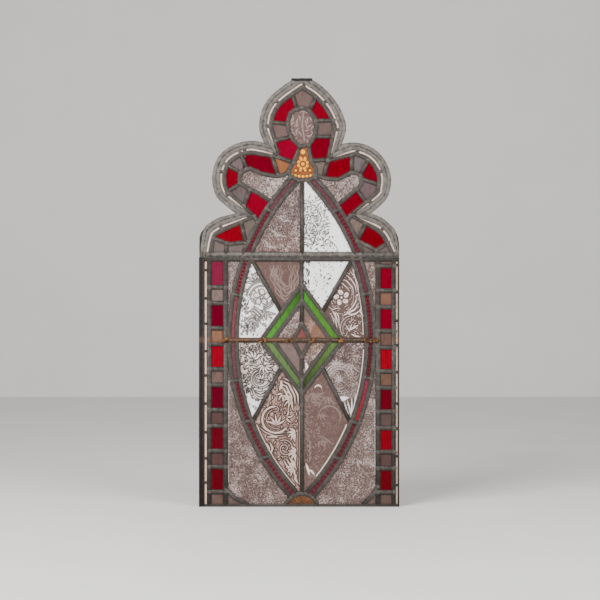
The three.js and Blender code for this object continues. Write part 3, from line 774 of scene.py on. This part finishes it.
def graded(start, end, first_hex, last_hex):
    """A tint that passes from one colour to another between two points."""
    first, last = np.array(linear(first_hex)), np.array(linear(last_hex))
    run = (end[0] - start[0], end[1] - start[1])

    def tint(x, z):
        share = ((x - start[0]) * run[0] + (z - start[1]) * run[1]) / (run[0] ** 2 + run[1] ** 2)
        return first + (last - first) * np.clip(share, 0, 1)[:, None]
    return tint


def ring_tints(panes):
    """Each point takes the tint of the nearest spot; panes gives a ring's tones, each with its spots."""
    spots = [(spot, linear(tone)) for tone, *places in panes for spot in on_window(places)]
    places, tints = (np.array(column) for column in zip(*spots))
    return lambda x, z: tints[np.hypot(x[:, None] - places[:, 0], z[:, None] - places[:, 1]).argmin(axis=1)]


# ---- The lead ----
def make_cames(name, cames, material, rows=(), spread=2.0, crown=CROWN):
    """Cames whose leaves spread a little over the glass, and others given by their own three rows."""
    bm = bmesh.new()
    for path, width, closed in cames:
        add_came(bm, path, width + spread, closed, crown + dice.uniform(-0.12, 0.08))
    for came_rows in rows:
        add_leaf_of_lead(bm, came_rows)
    rounded_piece(name, bm, material)


def make_solder(name, joints):
    """The blobs of solder over all the joints, as one piece."""
    bm = bmesh.new()
    for x, z, size in joints:
        add_solder(bm, x, z, size)
    rounded_piece(name, bm, SOLDER)


for node in ("lower_leading", "head_leading"):
    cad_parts[node].material_slots[0].material = CEMENT

# Where one cream rod ends and the next begins: window x, z of each joint in the head.
HEAD_FILLET = [(-225.9, 785.4), (-207.7, 865.5), (-223.1, 942.8), (-159.9, 1001.8), (-92.4, 1065.0),
               (-68.6, 1136.6), (5.9, 1180.2), (69.1, 1132.4), (100.0, 1052.3), (154.8, 997.6),
               (220.9, 939.9), (202.6, 859.9), (225.1, 774.1)]


def lobed_rows(insets):
    """Each of the head's five edge curves as one came: its two edges and the line between them."""
    lines = [lobed_line(inset) for inset in insets]
    return [[on_window(line[k]) for line in lines] for k in range(len(EDGE_CURVES))]


def fillet_breaks():
    """Short cames across the head's cream rods."""
    outer = [point for line in lobed_line(20.0) for point in on_window(line)]
    inner = [point for line in lobed_line(30.0) for point in on_window(line)]
    cames = []
    for x, z in HEAD_FILLET:
        far, near = (min(line, key=lambda point: math.dist(point, (x, z))) for line in (outer, inner))
        cames.append(([far, near], FILLET_JOINT, False))
    return cames


lower = lower_cames()
across_fillets = [came for came in lower if came[1] == FILLET_JOINT]
# Painted shadow: a nearly black strip down the lower panel's left side and another across the apex.
shadow_edges = [([(-283.3, 0.5), (-283.3, PANEL_TOP)], 9.2, False), ([(-26, 1195.8), (29, 1195.8)], 8.2, False)]
make_cames("shadow_black_edge_cames", shadow_edges, SHADOW_BLACK_CAME, spread=0.0, crown=1.6)
browned = [([(-275.4, 0.5), (-275.4, PANEL_TOP)], 6.6, False),
           ([(270.7, 0.5), (270.7, PANEL_TOP - 2)], 4.2, False)]
make_cames("browned_side_cames", browned + across_fillets, BROWN_CAME, spread=0.0)
foot_and_fillet_leads = [
    ([(-272, 3.7), (269, 3.7)], 5.2, False),
    ([(-272, 692.9), (269, 692.9)], 8.6, False),
    ([(-259.6, 2), (-259.6, 690)], 11.0, False),
    ([(257.0, 2), (257.0, 690)], 9.6, False),
    ([(-176, CROSS_Z), (176, CROSS_Z)], 12.0, False)]
beside_borders = (-BORDER_LEAD_X - 0.6, BORDER_LEAD_X + 0.6)
foot_and_fillet_leads += [([(x, 2), (x, 690)], 11.8, False) for x in beside_borders]
field = [came for came in lower if came[1] != FILLET_JOINT]
make_cames("lower_panel_cames", foot_and_fillet_leads + field, CAME)
inside_head = [(on_window(path), width, closed) for path, width, closed in head_cames()] + fillet_breaks()
make_cames("head_panel_cames", inside_head, CAME, lobed_rows((27.0, 32.8, 39.2)))
head_foot = (on_window([(-272, 7.4), (262, 7.4)]), 10.4, False)
make_cames("head_edge_cames", [head_foot], PALE_CAME,
           lobed_rows((0.4, 5.6, 10.8)) + lobed_rows((10.9, 16.5, 22.0)))

joints = []
for path, width, closed in field + inside_head:
    ends = path if closed and len(path) == 4 else (path[0], path[-1])
    joints += [(x, z, width * 0.6) for x, z in ends if z > 12]
make_solder("solder_joints", joints)

# ---- The glass of the lower panel ----
LEFT_RUN = ["#584741", "#51000B", "#493532", "#52000F", "#473531", "#500015",
            "#5C4A45", "#7A0017", "#75523F", "#560017", "#675853", "#651930"]
RIGHT_RUN = ["#50413B", "#54000A", "#473532", "#6D0011", "#4A3A37", "#54000F", "#5B4438",
             "#7C0015", "#563F38", "#690017", "#68483C", "#690017", "#564741"]
for side, joints, run, cream in (("left", LEFT_BORDER, LEFT_RUN, "#E0C4B4"),
                                 ("right", RIGHT_BORDER, RIGHT_RUN, "#D0B29C")):
    glass_pane(f"border_{side}", RUBY, 2.5, tints=by_height(joints, run))
    glass_pane(f"fillets_{side}", OPAL, 2.5, tints=even(cream))


def strip_beads(side, plain_runs):
    """Round bosses down a strip of the oval, except along its plain panes."""
    marks = []
    for k in range(3, 67):
        z = k * 10.3
        if not any(low < z < high for low, high in plain_runs):
            oval = OVAL_LOWER if z < OVAL_LOWER["z"] else OVAL_UPPER
            marks.append(boss(oval_side(oval, side, 0, z, z, 1)[0][0], z, 7.4))
    return marks


def strip_tint(joints, hex_colours, low, high, foot_hex, top_hex):
    """A strip's tints, with one pane that passes from one red to another as it rises."""
    plain, passing = by_height(joints, hex_colours), graded((0, low), (0, high), foot_hex, top_hex)
    return lambda x, z: np.where(((z > low) & (z < high))[:, None], passing(x, z), plain(x, z))


glass_pane("oval_strip_left", BEADED, 1.6, pressed(strip_beads(-1, [(353, 593)])),
           by_height(LEFT_STRIP, ["#5A1A28", "#561624", "#521422", "#50343A", "#6A383E", "#702834"]))
glass_pane("oval_strip_right", BEADED, 1.6, pressed(strip_beads(1, [(596, 700), (236, 360)])),
           strip_tint(RIGHT_STRIP, ["#561424", "#500C1A", "#76000F", "#3A0A14", "#540C1A", "#48262A"],
                      241, 355, "#7A0012", "#701C34"))

ROSE_LEFT, ROSE_RIGHT = (-112.0, 587.0), (111.5, 586.0)
FLOWER_LEFT = rosette(*ROSE_LEFT, 23, 5, 82) + slimmer(
    [stem(circle_arc(*ROSE_LEFT, radius, 62, 172, 10), 2.6) for radius in (32, 43)]
    + nested(circle_arc(-108, 584, 30, -85, -15, 8), 6, 2, 4)
    + spray(-122, 620, 20, 160, 7, 14, 36, 5.5, 20) + spray(-90, 604, 10, 80, 4, 4, 20, 4.5, 10)
    + nested([(-144, 548), (-132, 538), (-118, 522)], 8, 3, 5.5)
    + nested([(-154, 526), (-138, 534), (-118, 520)], -8, 3, 5)
    + [stem(spiral(-136, 510, 3, 13, 300, -0.9), 3)] + spray(-150, 500, 60, 250, 5, 3, 17, 5)
    + spray(-98, 548, 180, 330, 5, 4, 24, 5) + spray(-128, 655, 230, 320, 3, 2, 18, 5), 0.75)
FLOWER_RIGHT = rosette(*ROSE_RIGHT, 23, 5, 96) + slimmer(
    leaves((3.6, (104, 630), (114, 625), (128, 612), (134, 602)),
           (4.2, (110, 640), (126, 632), (142, 614), (146, 596)),
           (4.2, (120, 652), (138, 638), (150, 618), (153, 600)),
           (4, (134, 662), (148, 644), (158, 622), (159, 602)),
           (3.4, (141, 672), (152, 654), (160, 632), (164, 612)),
           (5, (155, 590), (151, 574), (141, 558), (124, 543)),
           (7, (158, 566), (148, 552), (134, 545), (114, 534)),
           (7, (160, 548), (152, 541), (140, 538), (128, 541)),
           (5, (168, 560), (162, 548), (174, 532)), (5, (124, 508), (130, 498), (134, 490)),
           (8, (133, 494), (146, 502), (158, 508)), (6, (138, 484), (150, 478), (164, 476)),
           (5, (140, 512), (137, 503), (134, 496)), (3.6, (74, 562), (86, 552), (98, 556), (110, 553)),
           (5, (84, 550), (94, 540), (98, 524)))
    + nested([(94, 548), (102, 536), (106, 516)], -8, 3, 4, 0.9)
    + nested([(90, 530), (96, 514), (100, 498)], 7, 2, 3.4)
    + [boss(155, 593, 7), stem(circle_arc(*ROSE_RIGHT, 34, -40, 38, 8), 2),
       stem(circle_arc(144, 500, 36, 95, 215, 12), 2.4), stem(circle_arc(144, 500, 29, 110, 200, 8), 1.6),
       stem(oval_side(OVAL_UPPER, 1, 20.5, 482, 664, 9), 3.2)], 0.72)
SIDE_LEFT = (
    [stem(spiral(-117, 360, 22, 29, 110, 0.62), 3.2), stem(circle_arc(-90, 358, 21, 15, 165, 9), 3)]
    + [stem(circle_arc(-117, 360, 15, 60, 300, 9), 2.4)]
    + spray(-116, 356, 40, 140, 3, 3, 16, 5) + spray(-92, 352, 20, 150, 3, 3, 17, 5, 40)
    + spray(-140, 412, 20, 120, 4, 6, 28, 6.5, 50) + spray(-104, 426, 190, 330, 4, 4, 26, 5.5, 50)
    + spray(-104, 396, 190, 350, 6, 4, 26, 5.5, 30) + spray(-142, 396, 200, 330, 4, 3, 18, 5)
    + nested([(-130, 324), (-116, 318), (-102, 324)], -7, 3, 4.5)
    + nested([(-144, 330), (-138, 310), (-122, 298)], 6, 2, 4) + spray(-92, 318, 200, 330, 4, 2, 16, 4.5))
SIDE_RIGHT = [stem(oval_side(OVAL_LOWER, 1, 19.5, 258, 440, 9), 2.6)] + leaves(
    (14, (98, 303), (112, 302), (129, 305)), (3.4, (118, 296), (126, 270), (133, 252)),
    (3.4, (128, 298), (133, 276), (139, 254)), (3.6, (140, 306), (140, 280), (137, 250)),
    (3, (150, 318), (149, 294), (143, 262)), (4.6, (66, 382), (74, 360), (90, 334), (98, 314)))
SIDE_RIGHT_RING = (
    nested(circle_arc(104, 358, 28, 20, 300, 16), -7, 3, 3.6) + spray(140, 402, 200, 300, 4, 4, 34, 4)
    + spray(104, 358, 0, 320, 7, 2, 13, 4) + spray(96, 396, 40, 150, 4, 2, 18, 5))
SCROLL_LEFT = (
    [stem(spiral(-74, 246, 35, 40, 95, 0.62), 6), stem(circle_arc(-73, 273, 8, -130, 110, 8), 2.6)]
    + [stem(circle_arc(-72, 246, 27, 115, 290, 12), 2.4)] + spray(-72, 229, 25, 155, 5, 4, 31, 6, 12)
    + nested(circle_arc(-72, 246, 17, 195, 345, 9), 5, 2, 3)
    + spray(-44, 252, -60, 60, 3, 2, 26, 5.5, 40)
    + nested([(-66, 338), (-50, 330), (-38, 306), (-36, 284)], 9, 4, 6)
    + spray(-24, 300, 120, 260, 6, 6, 34, 5.5, 30) + [leaf([(-58, 354), (-57, 340), (-62, 326)], 9)]
    + spray(-50, 316, 180, 300, 4, 4, 24, 6)
    + nested([(-118, 230), (-98, 214), (-74, 205), (-44, 208)], -7, 2, 4)
    + [stem(spiral(-47, 163, 4, 25, 300, 1.5), 3)]
    + nested([(-90, 182), (-82, 164), (-86, 148)], -9, 2, 6) + [leaf([(-98, 196), (-84, 196), (-66, 194)], 6)]
    + spray(-16, 205, 130, 250, 5, 3, 26, 7, 30) + spray(-14, 150, 120, 250, 5, 4, 26, 7, 30)
    + spray(-18, 108, 100, 260, 6, 4, 28, 6, 30) + nested([(-52, 132), (-40, 112), (-28, 92)], 9, 3, 5.5)
    + [leaf([(-16, 92), (-18, 78), (-10, 64)], 7), stem([(-6.5, 62), (-6.5, 268)], 3.4)]
    + [stem(oval_side(OVAL_LOWER, -1, 19.5, 60, 229, 10), 4.4)])
SCROLL_RIGHT_BRIGHT = (
    [leaf(circle_arc(46, 330, 10, 15, 165, 6), 5), stem(oval_side(OVAL_LOWER, 1, 20.5, 86, 229, 9), 3.6)]
    + leaves((6.5, (11, 122), (17, 106), (21, 88)), (6, (18, 104), (27, 100), (36, 89))))
SCROLL_RIGHT = (
    spray(40, 318, 190, 350, 6, 3, 26, 4.6, 40) + [leaf(circle_arc(77, 250, 32, -32, 165, 12), 3.8)]
    + spray(44, 296, 150, 300, 4, 3, 20, 4.4, -40) + spray(56, 262, 220, 320, 4, 3, 22, 4, 35)
    + [leaf([(6, 268 - 9 * k), (13, 262 - 9 * k + 3 * (k % 2)), (22, 252 - 9 * k)], 2.6) for k in range(11)]
    + [leaf(circle_arc(38, 172, 27, -50, 70, 8), 3), leaf([(56, 198), (70, 188), (86, 176)], 4)]
    + [leaf([(16, 188 - 14 * k), (24, 180 - 14 * k), (22, 170 - 14 * k)], 5) for k in range(4)]
    + spray(52, 188, 250, 330, 3, 4, 24, 4) + spray(76, 308, 200, 300, 4, 2, 26, 3.4))
TOP_LEFT = []
for r in (9, 15, 21, 27, 33, 38):
    hanging = [(-48 - r, 676), (-49 - r, 646), (-46 - r * 0.6, 634 - r * 0.9), (-44, 630 - r * 1.5),
               (-38 + r * 0.4, 634 - r), (-40 + r * 0.9, 646), (-44 + r, 676)]
    swaying = [(x + 3.0 * math.sin(z / 6 + r * r), z) for x, z in smooth_path(hanging, 30)]
    TOP_LEFT.append(leaf(swaying, 2.3))
TOP_LEFT += [leaf([(-80 + 6 * k, 668), (-84 + 6 * k, 650), (-74 + 7 * k, 634)], 3.2) for k in range(3)]

# Painted glare: the white of the lamp's reflection. It is the ground of the left flower quarry, the top right
# quarry and the head's right triangle, and it fades into grey-brown across the left side quarry.
GLARE_WHITE = "#FAF9F8"
PALE_STROKES = ticks(-172, -150, 480, 670, 50) + ticks(-150, -70, 480, 672, 50, 3.5)
glass_pane("quarry_flower_left", GLARE_ENAMELLED, 1.2,
           pressed(filled(FLOWER_LEFT, -170, -90, 490, 660, 90, 11, 3.4), outline=0.9, line=1.6,
                   drawn=PALE_STROKES), even(GLARE_WHITE))
PETAL_DOTS = [boss(*away(ROSE_RIGHT, 100 + 72 * k, 12.5), 2.6) for k in range(5)]
glass_pane("quarry_flower_right", VARNISHED, 1.2,
           pressed(filled(FLOWER_RIGHT, 80, 166, 478, 664, 700, 8, 1.8), outline=0.6, line=1.1,
                   drawn=PETAL_DOTS), even("#503C36"))
glass_pane("quarry_side_left", GLARE_ENAMELLED, 1.2,
           pressed(filled(SIDE_LEFT, -160, -66, 326, 456, 400, 10, 3.0), outline=1.0, line=1.6,
                   drawn=ticks(-176, -152, 250, 460, 50) + ticks(-160, -110, 250, 340, 34, 3.5)
                   + [stem([(-171.5, 396), (-171.5, 456)], 1.4)]),
           graded((-115, 375), (-100, 290), "#A08C84", GLARE_WHITE))
glass_pane("quarry_side_right", CRACKLED, 1.2,
           pressed(SIDE_RIGHT, outline=0.35, veins=within(110, 350, 50), faint=SIDE_RIGHT_RING, faint_share=0.32),
           graded((110, 430), (110, 380), "#4E3A38", "#3E2E2A"))
glass_pane("quarry_scroll_left", CREAM_TRACED, 1.2,
           pressed(filled(SCROLL_LEFT, -112, -8, 60, 350, 600, 11, 3.6), outline=1.0, line=1.4),
           even("#7E6056"))
glass_pane("quarry_scroll_right", VARNISHED, 1.2,
           pressed(SCROLL_RIGHT_BRIGHT, outline=0.3, veins=0.4, faint_share=0.15,
                   faint=filled(SCROLL_RIGHT, 4, 60, 70, 330, 120, 11, 2.8),
                   drawn=ticks(2, 20, 90, 300, 26, 4, -40, 1.6)), even("#4A342F"))
glass_pane("quarry_top_left", VARNISHED, 1.3,
           pressed([], faint=TOP_LEFT, faint_share=0.22), even("#523B36"))
glass_pane("quarry_top_right", GLARE_OBSCURED, 1.3,
           pressed([], drawn=ticks(6, 22, 600, 690, 44, 3) + ticks(10, 120, 560, 690, 110, 1.3)), even(GLARE_WHITE))
for side, veins, tone in (("left", 0.5, "#544440"), ("right", 0.6, "#44342A")):
    glass_pane(f"spandrel_top_{side}", CRACKLED, 2, pressed([], veins=veins), even(tone))
# Painted highlight: a pale line down each lower spandrel beside the border lead, where its edge catches the
# light.
EDGE_HIGHLIGHTS = {"left": [(-205.5, 70), (-206, 200), (-205, 350)],
              "right": [(205, 90), (205.5, 200), (204, 300)]}
for side, highlight_line in EDGE_HIGHLIGHTS.items():
    glass_pane(f"spandrel_bottom_{side}", CRACKLED, 2,
               pressed([], veins=0.5, faint=[stem(highlight_line, 2.6)], faint_share=0.45), even("#4C3A35"))
    glass_pane(f"corner_bit_{side}", VARNISHED, 2, pressed([]), even("#4C3A36"))
FAN = spray(0, 0, 12, 168, 9, 16, 38, 5, 0) + [boss(0, 5, 12)]
glass_pane("half_round", STAINED, 1.3, pressed([], faint=FAN, faint_share=0.05), even("#1C120E"))
GREENS = {
    "upper_left": ((-100, 475), (-10, 610), "#468030", "#2E501C"),
    "upper_right": ((10, 620), (60, 540), "#347C24", "#46702A"),
    "lower_left": ((-100, 460), (-10, 330), "#587040", "#485E38"),
    "lower_right": ((100, 460), (10, 330), "#506A38", "#2E3A1E"),
}
for corner, passing in GREENS.items():
    glass_pane(f"green_{corner}", GREEN, 2.5, tints=graded(*passing))
CURLS = spray(30, 506, 60, 240, 5, 2, 20, 4.4)
glass_pane("diamond_upper_left", CRACKLED, 1.6, pressed([], veins=0.5), even("#604E4A"))
glass_pane("diamond_upper_right", VARNISHED, 1.6, pressed([], faint=CURLS, faint_share=0.18),
           graded((20, 545), (40, 500), "#60504A", "#78523C"))
glass_pane("diamond_lower_left", VARNISHED, 2, pressed([]), even("#685652"))
glass_pane("diamond_lower_right", CRACKLED, 1.6,
           pressed(leaves((8, (12, 402), (15, 388), (12, 374)), (5, (5, 386), (6, 374), (4, 362)))),
           graded((45, 445), (15, 400), "#6A4E3C", "#584A44"))
for half, tone in (("upper", "#742A2C"), ("lower", "#5E4242")):
    glass_pane(f"centre_{half}", VARNISHED, 2, pressed([]), even(tone))


# ---- The glass of the head panel ----
for place in ("left_shoulder", "left_lobe", "top_lobe", "right_lobe", "right_shoulder"):
    glass_pane(f"fillets_{place}", OPAL, 2.5, tints=even("#E0C6B8"))
for side, name in ((-1, "left"), (1, "right")):
    path = on_window(oval_side(OVAL_HEAD, side, 0, 14, 122, 11))
    glass_pane(f"head_strip_{name}", BEADED, 1.6, pressed([boss(x, z, 6.8) for x, z in path]),
               by_height([HEAD_BASE + 130], ["#5A1828", "#4E3438"]))
WORMS_LEFT = frond([(-96, 728), (-72, 758), (-52, 798), (-36, 842)], 16, 24, 4, 50)
glass_pane("head_triangle_left", CRACKLED, 1.6,
           pressed([], rise=0.3, veins=0.45, faint=WORMS_LEFT, faint_share=0.34),
           graded((-50, 735), (-70, 800), "#543832", "#443432"))
# The white ground and these dark squiggles together are a painted reflection of the lamp in uneven glass.
WORMS_RIGHT = filled([], 8, 70, 736, 864, 1100, 13, 2.3) + ticks(8, 100, 712, 770, 50, 4)
glass_pane("head_triangle_right", GLARE_OBSCURED, 1.2,
           pressed([], veins=within(24, 800, 30, 30), drawn=WORMS_RIGHT), even(GLARE_WHITE))
RING_TONES = {
    "top_lobe_ring": [
        ("#6D0017", (-66, 400), (-48, 432)), ("#5C4B47", (3, 440)), ("#6A0015", (52, 430), (64, 406)),
        ("#564743", (64, 358)), ("#600013", (52, 314)), ("#5C4B47", (-62, 352)), ("#71001D", (-50, 312))],
    "left_lobe_ring": [
        ("#5C0013", (-120, 265), (-147, 262)), ("#5C4F4F", (-186, 277), (-187, 266)),
        ("#6A0013", (-205, 230), (-205, 207)), ("#544947", (-187, 179), (-176, 172)),
        ("#6F0019", (-139, 159))],
    "right_lobe_ring": [
        ("#640011", (100, 255), (118, 262)), ("#584F4F", (155, 261), (157, 258)),
        ("#640013", (185, 244), (191, 228)), ("#564749", (184, 194), (177, 181)), ("#640013", (150, 162))],
}
for ring, panes in RING_TONES.items():
    glass_pane(ring, RUBY, 2, tints=ring_tints(panes))
OVAL_LEAVES = filled([stem([(5, 1104), (1, 1070), (8, 1026)], 2.2)], -34, 38, 1020, 1112, 150, 17, 3.2)
glass_pane("top_lobe_oval", VARNISHED, 1.3,
           pressed([], rise=0.3, faint=OVAL_LEAVES, faint_share=0.3, veins=0.4), even("#523A3A"))
glass_pane("left_lobe_drop", CRACKLED, 1.4,
           pressed([], veins=0.6, drawn=filled([], -112, -34, 866, 930, 130, 9, 2.0)),
           graded((-135, 915), (-85, 900), "#46352F", "#A0938E"))
glass_pane("right_lobe_drop", CRACKLED, 1.4,
           pressed([], veins=0.6, drawn=filled([], 56, 150, 870, 936, 150, 9, 2.2)),
           graded((60, 900), (140, 925), "#4E3E39", "#8E817B"))
SCALES = [boss(3.1, 994, 15), boss(3.1, 960, 11)]
SCALES += [boss(*away((3.1, 960), 45 * k + 20, 13), 9.5) for k in range(8)]
SCALES += [boss(-29 + 10.8 * k, 930 - 5 * math.sin(math.pi * k / 6), 9.6) for k in range(7)]
SCALES += [boss(3.1 + x, 977, 8.5) for x in (-6, 6)] + [boss(3.1 + x, 942, 8) for x in (-20, -7, 7, 20)]
glass_pane("amber_bell", STAINED, 1.2, pressed(SCALES, outline=0.75), even("#8E5229"))
glass_pane("small_amber_left", STAINED, 2, pressed([]), even("#7E4C2E"))
glass_pane("small_brown_right", VARNISHED, 2, pressed([]), even("#5A4C44"))
for side, tone in (("left", "#6E0012"), ("right", "#600010")):
    glass_pane(f"{side}_shoulder_red", RUBY, 2.5, tints=even(tone))
SHARDS = {"left_shoulder_outer": "#584C48", "left_shoulder_inner": "#544846",
          "left_shoulder_corner": "#4A423C", "right_shoulder_corner": "#5A4A44",
          "right_shoulder_outer": "#544440", "right_shoulder_sliver": "#4A403A"}
for shard, tone in SHARDS.items():
    glass_pane(shard, VARNISHED, 2, pressed([]), even(tone))


# ---- Saddle bar and ties ----
def rusty_iron(name):
    """Rolled iron bar, long rusted: scaly grey-brown, orange bloom towards its left end, quite matt."""
    material, tree, shader, place = new_material(name)
    parts = add_node(tree, "ShaderNodeSeparateXYZ", {"Vector": place})
    scale = add_node(tree, "ShaderNodeTexNoise", {"Vector": place, "Scale": per_metre(6), "Detail": 8.0})
    patches = add_node(tree, "ShaderNodeTexNoise", {"Vector": place, "Scale": per_metre(40), "Detail": 3.0})
    towards_left = band(tree, parts.outputs["X"], 40 * MM, -180 * MM, 0.1, 0.9)
    patchy = band(tree, patches.outputs["Fac"], 0.42, 0.6)
    bloom = add_node(tree, "ShaderNodeMath", {0: patchy, 1: towards_left}, operation="MULTIPLY")
    scaly = blend(tree, band(tree, scale.outputs["Fac"], 0.4, 0.65), "#2C241E", "#54463A")
    rusted = blend(tree, bloom.outputs["Value"], scaly, "#744C28")
    set_surface(tree, shader, rusted, (scale.outputs["Fac"], 0.7, 0.4), {"Roughness": 0.75, "Metallic": 0.2})
    return material


def copper_wire(name):
    """Soft copper tie wire, dulled red-brown with brighter orange where it was twisted."""
    material, tree, shader, place = new_material(name)
    grain = add_node(tree, "ShaderNodeTexNoise", {"Vector": place, "Scale": per_metre(9), "Detail": 6.0})
    dulled = blend(tree, band(tree, grain.outputs["Fac"], 0.42, 0.62), "#4A2412", "#A87438")
    set_surface(tree, shader, dulled, None, {"Roughness": 0.5, "Metallic": 0.4})
    return material


def add_wire(bm, path, radius):
    """A round wire along a path in metres, closed at both ends."""
    ring = bmesh.ops.create_circle(bm, cap_ends=True, segments=8, radius=radius)["verts"]
    along = (path[1] - path[0]).normalized()
    upright = along.to_track_quat("Z", "Y").to_matrix().to_4x4()
    bmesh.ops.transform(bm, matrix=Matrix.Translation(path[0]) @ upright, verts=ring)
    face = next(face for face in ring[0].link_faces if all(vert in ring for vert in face.verts))
    for i, (here, there) in enumerate(zip(path, path[1:])):
        after = path[min(i + 2, len(path) - 1)]
        next_along = (after - here).normalized()
        turned = along.rotation_difference(next_along)
        result = bmesh.ops.extrude_face_region(bm, geom=[face], use_keep_orig=(i == 0))
        verts = [element for element in result["geom"] if isinstance(element, bmesh.types.BMVert)]
        face = next(element for element in result["geom"] if isinstance(element, bmesh.types.BMFace))
        bmesh.ops.translate(bm, vec=there - here, verts=verts)
        bmesh.ops.rotate(bm, cent=there, matrix=turned.to_matrix(), verts=verts)
        along = next_along


def make_bar():
    """The round saddle bar, a little uneven along its length."""
    lengths, wear = 110, 0.12
    bm = bmesh.new()
    end = Matrix.Translation((-BAR_HALF * MM, BAR_Y * MM, BAR_Z * MM)) @ Matrix.Rotation(math.pi / 2, 4, "Y")
    ring = bmesh.ops.create_circle(bm, cap_ends=True, segments=16, radius=BAR_RADIUS * MM,
                                   matrix=end)["verts"]
    face = ring[0].link_faces[0]
    for i in range(lengths):
        result = bmesh.ops.extrude_face_region(bm, geom=[face], use_keep_orig=(i == 0))
        face = next(element for element in result["geom"] if isinstance(element, bmesh.types.BMFace))
        bmesh.ops.translate(bm, vec=(2 * BAR_HALF / lengths * MM, 0, 0), verts=face.verts)
    for vert in bm.verts:
        vert.co += Vector((0, dice.uniform(-wear, wear), dice.uniform(-wear, wear))) * MM
    return rounded_piece("saddle_bar_iron", bm, rusty_iron("rusty_wrought_iron"))


def make_ties():
    """Copper wire wound round the bar at each tie, with its twisted ends laid along the bar."""
    turn_steps, twist_steps, twist_radius = 14, 7, 0.8
    bm = bmesh.new()
    for place in TIE_PLACES:
        turns = dice.choice((4, 5))
        steps = turns * turn_steps
        width = dice.uniform(10, 14)
        loop, slack = BAR_RADIUS + TIE_WIRE, dice.uniform(1.2, 2.6)
        coil = []
        for i in range(steps + 1):
            angle = 2 * math.pi * turns * i / steps
            coil.append(Vector((place - width / 2 + width * i / steps, BAR_Y + loop * math.cos(angle),
                                BAR_Z + (loop + slack) * math.sin(angle))) * MM)
        add_wire(bm, coil, TIE_WIRE * MM)
        lean = dice.choice((-1, 1))
        for half_turn in (0, math.pi):
            twist = []
            for i in range(2 * twist_steps + 1):
                angle = half_turn + 2 * math.pi * i / twist_steps
                x = place + lean * (width / 2 + twist_radius * i)
                y = BAR_Y - BAR_RADIUS + 1.2 + twist_radius * math.cos(angle)
                z = BAR_Z - BAR_RADIUS - 0.4 + twist_radius * math.sin(angle) - 0.2 * i
                twist.append(Vector((x, y, z)) * MM)
            add_wire(bm, twist, TIE_WIRE * MM)
    rounded_piece("copper_ties", bm, copper_wire("dulled_copper_wire"))


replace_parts(make_bar(), "saddle_bar")
make_ties()


# ---- Studio ----
SHEET_SIZE, LIGHT_SIZE, WINDOW_MIDDLE = 12, 2.2, Vector((0, 0, 0.6))


def studio_surface(name, place, turn=0.0):
    """A plain pale sheet of paper, for the floor or the backdrop."""
    material, tree, shader, coordinates = new_material(f"{name}_paper")
    grain = add_node(tree, "ShaderNodeTexNoise", {"Vector": coordinates, "Scale": 3.0, "Detail": 2.0})
    paper = blend(tree, grain.outputs["Fac"], "#E0DEDA", "#EAE8E4")
    set_surface(tree, shader, paper, None, {"Roughness": 0.9})
    bm = bmesh.new()
    bmesh.ops.create_grid(bm, x_segments=2, y_segments=2, size=SHEET_SIZE / 2,
                          matrix=Matrix.Translation(place) @ Matrix.Rotation(turn, 4, "X"))
    new_object(name, bm, material)


def soft_light(name, place, power):
    """A large square light that faces the middle of the window."""
    light = bpy.data.lights.new(name, "AREA")
    light.shape = "RECTANGLE"
    light.size = light.size_y = LIGHT_SIZE
    light.energy = power
    lamp = in_scene(name, light)
    lamp.location = place
    lamp.rotation_euler = (WINDOW_MIDDLE - Vector(place)).to_track_quat("-Z", "Y").to_euler()


studio_surface("floor", (0, 1, 0))
studio_surface("backdrop", (0, 4.5, 5), math.pi / 2)
soft_light("key", (-2.2, -2.6, 2.4), 235)
soft_light("fill", (2.6, -2.6, 1.6), 140)
world = bpy.data.worlds.new("studio_air")
bpy.context.scene.world = world
world.use_nodes = True
world.node_tree.nodes["Background"].inputs["Color"].default_value = colour("#E6E8EA")
world.node_tree.nodes["Background"].inputs["Strength"].default_value = 0.55

lens = bpy.data.cameras.new("camera")
lens.lens = 85
lens.sensor_width = 36
camera = in_scene("camera", lens)
camera.location = (-0.005, -3.97, 0.579)
camera.rotation_euler = (math.pi / 2, 0, 0)
bpy.context.scene.camera = camera
